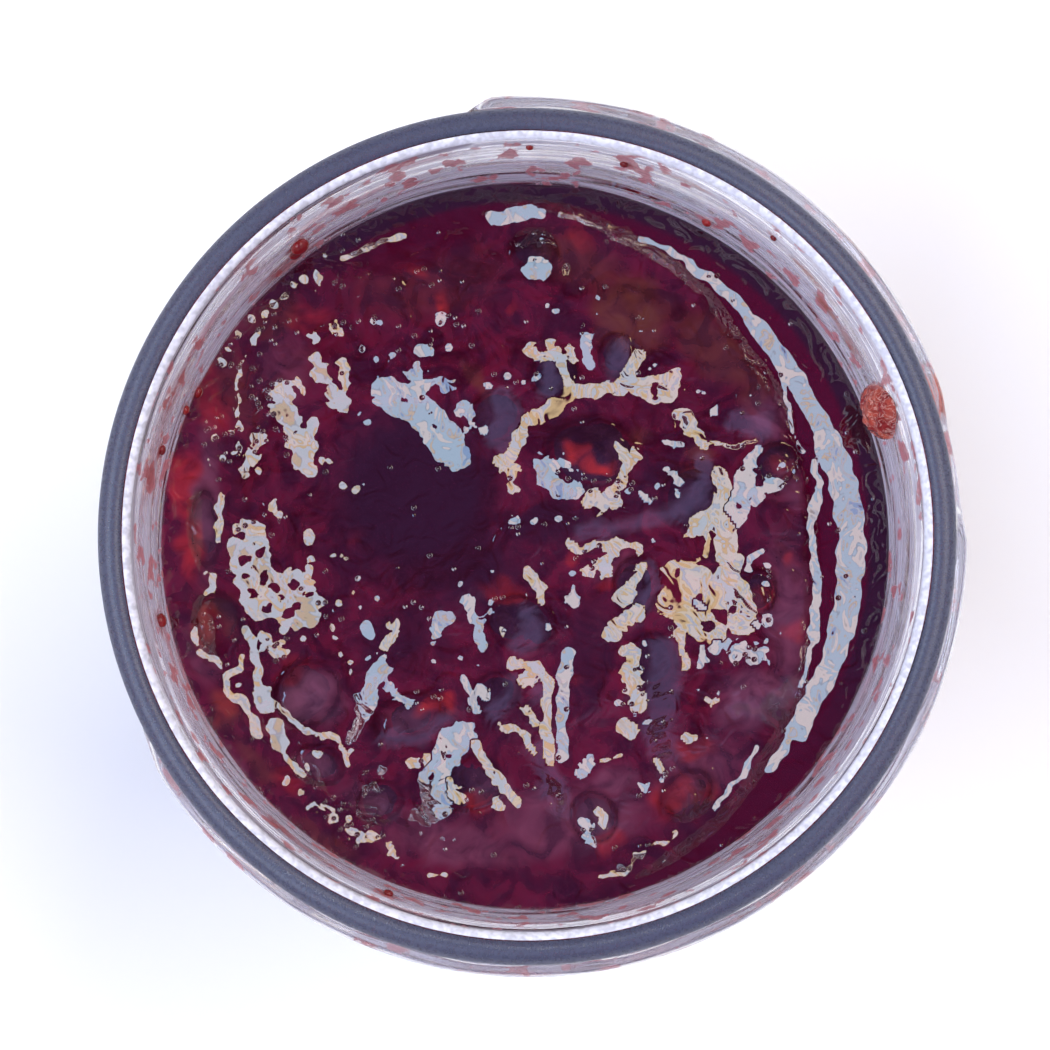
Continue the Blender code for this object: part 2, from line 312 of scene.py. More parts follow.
BERRIES: tuple[Berry, ...] = (
    Berry(-21.7, -15.0, 7.6, 7.2, 40, 1.6),
    Berry(-11.4, -17.1, 9.6, 6.0, 14, 1.3),
    Berry(-30.6, -8.0, 7.0, 5.4, 104, 1.4),
    Berry(-3.0, 12.6, 6.2, 5.8, 70, 1.4),
    Berry(2.9, 16.8, 5.4, 5.0, 20, 1.3),
    Berry(9.1, 18.8, 4.8, 4.0, 80, 1.2),
    Berry(6.4, 9.0, 11.2, 8.4, 8, 1.8),
    Berry(16.8, 4.6, 8.2, 7.4, 25, 1.6),
    Berry(11.0, -4.2, 7.0, 5.4, 75, 1.3),
    Berry(12.6, -11.8, 6.6, 6.0, 100, 1.2),
    Berry(-0.4, -8.0, 7.6, 6.0, 165, 1.5),
    Berry(-3.0, -15.0, 5.4, 4.6, 30, 1.3),
    Berry(25.0, 7.9, 5.0, 4.4, 60, 1.1),
    Berry(23.0, -4.9, 5.2, 4.2, 85, 1.1),
    Berry(6.7, -27.1, 5.6, 5.0, 110, 1.3),
    Berry(-5.6, -23.7, 8.0, 6.2, 10, 1.5),
    Berry(-20.4, -22.0, 5.4, 4.2, 160, 1.3),
    Berry(-14.4, -25.6, 5.0, 4.4, 20, 1.2),
    Berry(-32.0, 1.6, 9.4, 3.6, 94, 1.3),
    Berry(0.8, 29.4, 5.4, 4.6, 0, 1.1),
    Berry(15.8, -24.8, 7.0, 5.4, 35, 1.1),
)


SKY, PALE, CREAM, GOLD, COOL, LILAC = Mirrored
GLINTS: tuple[Glint, ...] = (
    Glint(SKY, 1.75, ((-13.6, 14.9), (-10.8, 13.4), (-8.6, 11.2), (-7.2, 9.0)), 0.5),
    Glint(SKY, 0.9, ((-14.4, 15.8), (-13.9, 15.2)), 0.4),
    Glint(SKY, 0.85, ((-11.1, 17.1), (-10.4, 15.4))),
    Glint(SKY, 0.5, ((-9.6, 16.1), (-7.2, 15.7))),
    Glint(SKY, 0.62, ((-10.7, 19.3), (-9.7, 19.3)), 0.4),
    Glint(PALE, 0.5, ((-8.6, 22.5), (-8.6, 22.5)), 0.3),
    Glint(SKY, 0.7, ((-6.2, 13.5), (-5.7, 13.0))),
    Glint(PALE, 0.55, ((-6.0, 11.6), (-4.2, 11.5)), 1.6),
    Glint(LILAC, 1.5, ((-2.4, 14.2), (-1.7, 12.4), (-2.6, 10.4)), 0.3),
    Glint(CREAM, 0.75, ((0.0, 12.4), (-0.8, 10.3), (-1.7, 8.4)), 0.5),
    Glint(CREAM, 0.95, ((-2.2, 8.3), (-1.7, 7.6))),
    Glint(CREAM, 0.5, ((-1.4, 5.5), (-1.3, 5.3))),
    Glint(COOL, 0.75, ((-20.9, 18.8), (-20.7, 17.3), (-19.7, 15.8), (-18.4, 13.9))),
    Glint(COOL, 0.45, ((-20.0, 15.9), (-19.4, 15.0))),
    Glint(CREAM, 0.5, ((-18.3, 18.0), (-18.1, 15.9))),
    Glint(COOL, 1.15, ((-24.2, 15.2), (-24.4, 13.8), (-23.6, 12.6))),
    Glint(COOL, 0.95, ((-23.6, 11.9), (-22.8, 9.6), (-21.8, 7.8)), 0.6),
    Glint(COOL, 0.8, ((-21.3, 12.0), (-21.7, 10.2), (-22.1, 8.8)), 0.6),
    Glint(COOL, 0.55, ((-26.5, 10.6), (-27.2, 8.9), (-28.0, 7.8))),
    Glint(CREAM, 0.45, ((-22.5, 15.8), (-22.3, 15.2))),
    Glint(CREAM, 0.55, ((-18.9, 21.6), (-18.8, 21.3))),
    Glint(COOL, 0.5, ((-21.3, 21.3), (-21.1, 20.5)), 1.5),
    Glint(COOL, 0.35, ((-21.0, 26.6), (-20.7, 25.3))),
    Glint(COOL, 0.4, ((-21.8, 1.1), (-21.4, 0.2)), 0.5),
    Glint(CREAM, 0.45, ((-25.0, 3.5), (-24.9, 3.2))),
    Glint(CREAM, 0.26, ((-18.4, 28.4), (-15.7, 29.7), (-12.2, 30.8)), 0.2),
    Glint(COOL, 0.2, ((-26.5, 21.1), (-28.1, 18.8), (-28.8, 16.3), (-28.8, 14.0), (-28.6, 11.0),
                      (-28.3, 8.2)), 0.5),
    Glint(CREAM, 0.32, ((-30.2, 5.2), (-30.5, 3.2), (-30.6, 0.2)), 0.4),
    Glint(CREAM, 0.4, ((-31.1, -3.2), (-31.3, -4.8)), 0.4),
    Glint(PALE, 0.75, ((-3.2, 32.5), (-1.0, 33.0), (1.4, 33.1)), 0.4),
    Glint(SKY, 1.05, ((0.6, 27.4), (1.6, 27.6)), 0.7),
    Glint(CREAM, 0.5, ((3.8, 27.4), (3.9, 27.2)), 0.5),
    Glint(CREAM, 0.24, ((3.4, 33.0), (6.4, 32.2), (8.4, 31.0), (10.2, 29.8)), 0.2),
    Glint(CREAM, 0.6, ((0.4, 19.2), (2.0, 18.6), (3.2, 18.7)), 1.4),
    Glint(CREAM, 0.5, ((2.5, 20.0), (3.3, 18.6), (4.1, 17.0), (4.5, 15.1)), 0.6),
    Glint(CREAM, 0.4, ((4.4, 19.4), (4.6, 18.3))),
    Glint(CREAM, 0.75, ((4.5, 15.1), (7.3, 15.2), (9.4, 15.6), (10.5, 17.0), (11.1, 18.8)), 0.4),
    Glint(CREAM, 1.25, ((11.4, 15.6), (13.0, 15.4), (14.4, 15.6)), 0.9),
    Glint(CREAM, 0.6, ((13.6, 16.4), (15.2, 16.9))),
    Glint(GOLD, 0.8, ((4.5, 15.1), (2.4, 13.2), (0.6, 12.4)), 0.4),
    Glint(SKY, 0.7, ((6.3, 20.6), (6.3, 19.3), (6.4, 18.1)), 0.7),
    Glint(LILAC, 1.1, ((9.6, 19.6), (8.7, 17.9)), 0.4),
    Glint(LILAC, 1.0, ((2.5, 17.4), (2.2, 15.0)), 0.3),
    Glint(SKY, 1.0, ((1.6, 7.9), (2.1, 6.4), (3.5, 5.4), (4.6, 5.1)), 0.6),
    Glint(PALE, 0.6, ((3.0, 8.1), (4.4, 7.0)), 1.2),
    Glint(CREAM, 0.6, ((9.4, 9.7), (10.2, 8.2), (9.6, 6.9), (9.1, 5.2)), 0.6),
    Glint(CREAM, 0.6, ((10.2, 8.4), (11.0, 8.9))),
    Glint(CREAM, 0.95, ((9.0, 4.6), (7.6, 3.9), (6.6, 4.2))),
    Glint(CREAM, 0.35, ((7.5, 3.6), (7.3, 2.9))),
    Glint(PALE, 0.4, ((11.7, 4.8), (12.4, 4.5)), 1.2),
    Glint(PALE, 0.3, ((14.0, 10.2), (15.0, 9.7), (15.8, 9.9)), 0.6),
    Glint(PALE, 0.5, ((14.3, 7.2), (15.3, 5.9))),
    Glint(PALE, 0.35, ((14.9, 4.8), (15.0, 4.7))),
    Glint(CREAM, 0.75, ((15.8, 13.0), (16.5, 11.5), (17.6, 9.9)), 0.7),
    Glint(CREAM, 0.22, ((18.4, 10.1), (20.6, 9.4), (22.9, 10.3)), 0.3),
    Glint(PALE, 0.45, ((18.7, 13.3), (18.8, 13.1))),
    Glint(PALE, 0.55, ((23.2, 9.4), (22.4, 8.0), (21.9, 6.8)), 0.5),
    Glint(PALE, 1.15, ((21.9, 6.4), (21.4, 4.6), (21.0, 2.8)), 0.5),
    Glint(PALE, 0.55, ((25.2, 5.9), (23.4, 5.4), (22.6, 4.2)), 1.2),
    Glint(CREAM, 0.95, ((19.3, 6.6), (19.6, 4.8), (18.7, 2.9), (16.8, 1.5)), 0.5),
    Glint(LILAC, 0.85, ((5.6, 1.3), (8.7, 1.5), (11.9, 2.2), (14.6, 3.1), (16.9, 4.6), (17.9, 6.6),
                        (17.5, 8.3)), 0.2),
    Glint(LILAC, 1.0, ((20.9, 12.4), (23.6, 11.6)), 0.8),
    Glint(PALE, 0.26, ((25.0, 18.4), (25.9, 16.3), (26.4, 13.8), (26.6, 11.5), (27.8, 9.4)), 0.2),
    Glint(PALE, 0.42, ((28.9, 8.0), (29.4, 5.9), (28.9, 3.6), (28.3, 1.3)), 0.3),
    Glint(PALE, 0.5, ((28.3, 1.3), (28.9, -1.6), (29.1, -5.7), (28.6, -9.4)), 0.3),
    Glint(PALE, 0.24, ((28.6, -9.4), (27.9, -12.4), (27.3, -14.4)), 0.2),
    Glint(COOL, 2.0, ((-27.6, 0.2), (-27.4, -2.3), (-26.4, -4.6)), 0.6),
    Glint(COOL, 2.2, ((-26.0, -5.6), (-23.4, -4.9), (-22.3, -6.4)), 0.7),
    Glint(COOL, 0.35, ((-21.6, -2.8), (-21.5, -4.4))),
    Glint(COOL, 0.42, ((-27.6, -8.8), (-27.0, -10.6), (-26.4, -12.8), (-26.5, -14.4)), 0.4),
    Glint(COOL, 0.7, ((-26.0, -9.4), (-24.4, -10.9)), 1.8),
    Glint(COOL, 0.85, ((-26.2, -14.8), (-25.6, -16.5)), 0.6),
    Glint(COOL, 0.85, ((-24.8, -18.2), (-24.3, -20.0)), 0.6),
    Glint(COOL, 0.3, ((-24.3, -20.4), (-22.1, -23.0)), 0.3),
    Glint(COOL, 0.3, ((-25.3, -15.4), (-23.3, -17.3), (-21.9, -18.6), (-20.8, -19.0)), 0.3),
    Glint(CREAM, 0.3, ((-20.3, -19.1), (-18.7, -19.3), (-18.0, -20.7), (-17.5, -22.0)), 0.3),
    Glint(CREAM, 0.38, ((-28.1, -11.3), (-28.3, -12.4), (-29.7, -13.3), (-29.7, -14.5), (-28.1, -15.7),
                        (-27.2, -17.3), (-26.6, -18.9)), 0.3),
    Glint(CREAM, 0.22, ((-32.9, -8.7), (-32.3, -10.8), (-30.2, -12.2)), 0.4),
    Glint(SKY, 0.95, ((-14.2, -12.4), (-15.0, -13.8), (-15.8, -15.2), (-16.0, -16.8)), 0.7),
    Glint(SKY, 0.6, ((-16.3, -17.2), (-17.0, -18.6), (-17.3, -19.6)), 0.7),
    Glint(SKY, 0.5, ((-14.6, -14.0), (-13.2, -14.2), (-11.8, -15.8)), 1.6),
    Glint(SKY, 0.7, ((-7.9, -7.2), (-8.7, -8.0), (-9.1, -9.4)), 0.6),
    Glint(SKY, 0.58, ((-5.9, -5.8), (-4.9, -7.4), (-4.9, -9.2), (-4.3, -10.2)), 0.5),
    Glint(SKY, 0.42, ((-4.8, -7.6), (-3.5, -6.8)), 1.0),
    Glint(CREAM, 0.42, ((-2.3, -8.4), (-2.1, -8.9))),
    Glint(SKY, 0.6, ((-15.8, -8.5), (-15.6, -9.0)), 0.2),
    Glint(CREAM, 0.42, ((-13.0, -7.5), (-13.2, -9.0), (-14.0, -10.5)), 0.6),
    Glint(PALE, 0.42, ((-6.0, -13.8), (-5.2, -15.2), (-4.9, -16.9)), 0.5),
    Glint(PALE, 0.5, ((-4.6, -14.5), (-4.1, -14.9)), 1.5),
    Glint(SKY, 1.45, ((-6.3, -18.9), (-7.6, -20.2), (-8.7, -22.1), (-9.1, -24.0), (-8.8, -26.0)), 0.5),
    Glint(CREAM, 0.6, ((-9.6, -21.5), (-11.2, -21.8)), 1.2),
    Glint(CREAM, 0.75, ((-7.8, -23.6), (-6.6, -25.2)), 0.7),
    Glint(CREAM, 0.52, ((-5.8, -18.9), (-4.4, -21.2), (-3.0, -23.0), (-1.6, -24.9), (-0.8, -25.7)), 0.4),
    Glint(CREAM, 0.5, ((-2.9, -25.8), (-2.6, -26.0))),
    Glint(PALE, 0.75, ((-10.6, -26.8), (-10.1, -27.2))),
    Glint(CREAM, 0.35, ((-21.0, -26.2), (-18.7, -27.4), (-16.4, -28.8), (-15.2, -28.8)), 1.3),
    Glint(CREAM, 0.3, ((-13.8, -29.9), (-12.9, -31.1)), 1.4),
    Glint(CREAM, 0.2, ((-9.7, -32.8), (-7.8, -32.9)), 0.3),
    Glint(CREAM, 0.45, ((4.4, -0.2), (5.4, -0.6), (7.3, -0.2), (9.6, 0.0), (11.3, -0.6)), 0.4),
    Glint(CREAM, 0.7, ((8.4, -0.6), (8.2, -2.0), (7.8, -3.0)), 1.3),
    Glint(CREAM, 0.45, ((6.9, -2.4), (6.4, -2.9)), 1.5),
    Glint(CREAM, 0.5, ((11.4, -2.4), (11.0, -3.4), (10.4, -4.2)), 0.8),
    Glint(CREAM, 0.9, ((9.9, -5.2), (9.7, -5.6)), 0.5),
    Glint(CREAM, 0.95, ((11.0, -7.1), (9.8, -7.8), (8.6, -8.7)), 0.8),
    Glint(GOLD, 1.7, ((14.9, -3.2), (17.0, -3.9), (19.0, -5.2)), 0.4),
    Glint(GOLD, 1.6, ((14.6, -5.8), (16.5, -7.4), (18.4, -9.0)), 0.4),
    Glint(CREAM, 1.5, ((19.9, -3.6), (21.0, -5.6), (21.6, -7.8)), 0.5),
    Glint(PALE, 0.9, ((17.2, -5.6), (17.0, -7.6), (18.8, -10.2)), 0.3),
    Glint(PALE, 0.6, ((21.6, -8.1), (23.8, -7.8)), 0.8),
    Glint(CREAM, 0.45, ((15.1, -8.8), (15.9, -12.2)), 0.4),
    Glint(PALE, 0.5, ((17.4, -10.4), (17.6, -12.2)), 0.6),
    Glint(PALE, 0.8, ((20.2, -10.4), (23.2, -11.1)), 1.8),
    Glint(PALE, 0.45, ((22.0, -2.5), (22.3, -1.5), (23.6, -0.9)), 0.6),
    Glint(CREAM, 1.15, ((19.6, 1.9), (20.1, -0.6), (20.4, -2.2)), 0.5),
    Glint(GOLD, 0.32, ((15.8, 0.7), (17.4, 1.5), (18.2, 0.1), (17.7, -1.4), (16.4, -1.9)), 0.2),
    Glint(CREAM, 0.95, ((10.3, -10.8), (10.3, -12.4), (10.6, -13.8), (11.1, -15.9)), 1.2),
    Glint(CREAM, 0.85, ((9.8, -18.2), (10.4, -18.8)), 0.5),
    Glint(PALE, 0.62, ((4.2, -10.9), (3.7, -13.4), (3.6, -16.4), (3.6, -21.4)), 0.2),
    Glint(CREAM, 0.55, ((-1.5, -12.0), (1.2, -12.4), (2.2, -13.8), (2.1, -16.1), (1.9, -18.4),
                        (2.5, -21.8)), 0.3),
    Glint(CREAM, 0.7, ((-0.2, -13.4), (0.4, -13.8))),
    Glint(CREAM, 0.4, ((-2.6, -18.0), (-1.0, -18.4), (0.4, -19.8), (0.6, -20.7)), 0.5),
    Glint(CREAM, 0.35, ((-0.9, -16.3), (0.6, -16.8), (0.7, -18.0)), 0.9),
    Glint(CREAM, 0.6, ((0.2, -2.9), (1.4, -4.4)), 0.4),
    Glint(CREAM, 0.3, ((1.4, -4.4), (1.6, -6.0)), 0.3),
    Glint(PALE, 0.5, ((4.7, -4.4), (4.6, -5.7))),
    Glint(SKY, 0.6, ((6.6, -21.7), (5.4, -22.7)), 0.8),
    Glint(CREAM, 0.18, ((7.3, -21.6), (9.6, -21.1)), 0.3),
    Glint(CREAM, 0.5, ((18.3, -15.7), (18.7, -15.5)), 0.8),
    Glint(CREAM, 0.4, ((16.0, -19.2), (16.3, -19.4)), 0.4),
    Glint(CREAM, 0.35, ((12.8, -21.6), (13.4, -22.5)), 0.6),
    Glint(PALE, 0.35, ((11.5, -23.8), (11.7, -23.9)), 1.4),
    Glint(PALE, 0.5, ((5.8, -27.6), (6.3, -29.4)), 0.8),
    Glint(CREAM, 0.42, ((6.8, -26.7), (8.0, -26.7), (7.5, -27.9)), 0.6),
    Glint(LILAC, 1.5, ((13.7, -10.8), (13.9, -13.8), (13.5, -16.1), (12.9, -18.9), (13.6, -20.4)), 0.3),
    Glint(LILAC, 0.55, ((12.3, -2.1), (12.6, -4.4), (11.5, -5.8)), 0.2),
    Glint(LILAC, 0.95, ((0.2, -7.0), (0.6, -8.9), (-0.6, -10.3)), 0.3),
    Glint(LILAC, 0.62, ((-1.2, -13.4), (-1.9, -15.7), (-3.5, -16.8)), 0.3),
    Glint(LILAC, 0.7, ((1.2, -14.7), (1.2, -15.0)), 0.3),
    Glint(LILAC, 1.2, ((1.3, -20.9), (2.6, -23.7), (3.6, -26.0)), 0.5),
    Glint(LILAC, 0.9, ((20.9, -16.3), (24.0, -16.8), (26.2, -14.6)), 0.9),
    Glint(LILAC, 0.55, ((-13.8, -19.3), (-10.6, -19.5), (-8.0, -17.6)), 0.2),
    Glint(SKY, 0.3, ((11.4, 30.8), (14.4, 29.5), (17.5, 27.5)), 0.1),
    Glint(SKY, 0.6, ((16.6, 28.1), (20.4, 25.0), (23.5, 21.6)), 0.1),
    Glint(SKY, 0.95, ((22.8, 22.2), (26.4, 17.6), (28.8, 13.4), (30.6, 9.8)), 0.1),
    Glint(SKY, 1.35, ((30.2, 10.4), (31.9, 5.6), (32.6, 0.4), (32.2, -5.4), (31.4, -8.6)), 0.1),
    Glint(PALE, 1.1, ((31.6, -8.0), (30.4, -12.0), (28.6, -15.6), (26.9, -18.6)), 0.1),
    Glint(PALE, 0.5, ((27.0, -18.4), (25.4, -20.9), (24.2, -22.4)), 0.1),
    Glint(PALE, 0.22, ((22.8, -20.3), (21.6, -22.8), (19.9, -24.6), (18.6, -26.2)), 0.3),
    Glint(CREAM, 0.24, ((14.8, -28.7), (11.6, -30.6), (9.4, -32.5), (7.3, -32.9)), 0.6),
)

DOTS: tuple[tuple[float, float, float], ...] = (
    (-28.6, 20.7, 0.42), (-27.4, 22.3, 0.4), (-26.2, 23.0, 0.36), (-25.1, 23.9, 0.5), (-24.0, 24.8, 0.38),
    (-23.0, 25.7, 0.4), (-22.1, 26.3, 0.5), (-29.5, 19.3, 0.36), (-30.2, 17.9, 0.36), (-20.0, 28.9, 0.3),
    (-15.4, 22.1, 0.36), (-14.5, 22.1, 0.34), (-16.4, 19.5, 0.32), (-15.0, 18.4, 0.32), (-13.5, 18.7, 0.26),
    (-7.7, 19.6, 0.34), (-16.0, 12.3, 0.32), (-16.7, 13.0, 0.28), (-20.2, 8.1, 0.36), (-19.5, 8.1, 0.28),
    (-18.2, 5.7, 0.33), (-17.05, 5.36, 0.44), (-16.2, 5.8, 0.24), (-25.9, 12.4, 0.34), (-26.6, 7.3, 0.34),
    (-27.9, 6.5, 0.36), (-3.8, 15.8, 0.42), (-1.8, 16.8, 0.36), (-0.2, 16.0, 0.34), (1.1, 16.6, 0.5),
    (2.3, 23.8, 0.24), (3.0, 23.3, 0.32), (1.6, 30.4, 0.26), (7.2, 24.6, 0.24), (7.1, 22.9, 0.24),
    (11.8, 22.6, 0.22), (11.3, 21.4, 0.2), (13.0, 18.1, 0.24), (12.4, 17.6, 0.2), (17.2, 15.1, 0.24),
    (17.8, 15.0, 0.26), (21.1, 14.7, 0.2), (22.4, 14.7, 0.2), (3.25, 2.3, 0.44), (-1.4, 2.1, 0.34),
    (-1.0, 2.3, 0.3), (0.9, 2.2, 0.34), (5.0, 2.7, 0.28), (2.5, 3.2, 0.22), (10.3, 5.3, 0.28),
    (13.1, 5.9, 0.3),
    (-23.9, -8.6, 0.46), (-19.2, -8.3, 0.3), (-18.9, -9.4, 0.3), (-21.4, -1.7, 0.36), (-19.3, -1.2, 0.26),
    (-18.5, -1.3, 0.26), (-17.9, -1.6, 0.3), (-16.6, -3.5, 0.26), (-14.8, -5.5, 0.34), (-18.5, -6.1, 0.34),
    (-17.2, -5.0, 0.2), (-16.6, -6.3, 0.2), (-20.7, -7.8, 0.3), (-22.1, -9.4, 0.24), (-17.4, -12.0, 0.34),
    (-17.4, -12.9, 0.24), (-18.2, -10.9, 0.22), (-15.9, -11.4, 0.24), (-14.9, -11.1, 0.2),
    (-6.6, -11.3, 0.34),
    (-9.2, -11.8, 0.22), (-4.7, -12.2, 0.26), (-3.5, -5.75, 0.38), (-3.4, -2.8, 0.3), (-6.6, -4.0, 0.26),
    (-2.1, -8.6, 0.36), (-14.2, -22.5, 0.44), (-16.1, -23.0, 0.3), (-14.9, -24.2, 0.4), (-15.8, -24.5, 0.3),
    (-20.6, -20.8, 0.36), (-21.6, -22.2, 0.32), (-17.3, -20.8, 0.24), (-8.4, -29.4, 0.26),
    (-7.2, -29.2, 0.22),
    (-12.2, -32.0, 0.24), (-10.4, -28.7, 0.26), (4.5, -3.0, 0.28), (2.1, -8.5, 0.28), (-3.4, -2.7, 0.24),
    (12.6, 0.5, 0.24), (11.8, -10.1, 0.32), (9.3, -16.1, 0.34), (12.0, -17.7, 0.36), (11.0, -16.9, 0.24),
    (18.0, -19.3, 0.3), (19.1, -14.8, 0.2), (17.2, -14.7, 0.24), (24.0, -2.3, 0.36), (23.8, -4.0, 0.38),
    (26.4, -2.0, 0.22), (25.2, -9.0, 0.26), (23.9, -9.9, 0.28), (12.7, -23.2, 0.2), (13.4, -23.6, 0.22),
    (9.4, -31.9, 0.3), (-29.4, 11.0, 0.3), (-29.0, 9.0, 0.28), (-31.0, 10.4, 0.3), (-30.2, 8.4, 0.28),
    (25.4, 7.7, 0.3), (26.6, 7.2, 0.2), (-23.8, -23.6, 0.4), (-22.4, -24.6, 0.3), (-28.4, -14.0, 0.2),
    (-29.0, -13.0, 0.2), (-31.8, -3.0, 0.2), (-1.6, -24.7, 0.26), (-6.0, -25.3, 0.26), (4.0, -6.6, 0.2),
)
GLINTS += tuple(
    Glint(PALE if x > DOTS_BY_THE_LEFT_WALL else COOL, radius, ((x, y),), DOT_RAGGED) for x, y, radius in DOTS
)

PITS: tuple[tuple[float, float, float], ...] = (
    (-28.0, -1.6, 0.5), (-26.4, -1.0, 0.35), (-27.6, -3.4, 0.4), (-26.2, -3.2, 0.6), (-25.0, -4.6, 0.5),
    (-27.0, -5.2, 0.45), (-25.6, -6.4, 0.55), (-24.2, -5.6, 0.45), (-23.0, -4.2, 0.4), (-22.6, -6.2, 0.5),
    (-23.8, -7.2, 0.35), (-21.6, -5.2, 0.4), (-28.6, 0.6, 0.35), (15.1, -3.0, 0.4), (15.3, -1.7, 0.25),
    (18.2, -8.2, 0.6), (20.6, -6.6, 0.35), (17.4, -5.2, 0.3), (-9.2, -22.9, 0.3), (-7.6, -21.2, 0.28),
    (-12.0, 14.4, 0.3), (-9.2, 11.6, 0.26), (12.9, 15.2, 0.35), (14.2, 15.9, 0.25), (21.2, 3.8, 0.35),
)

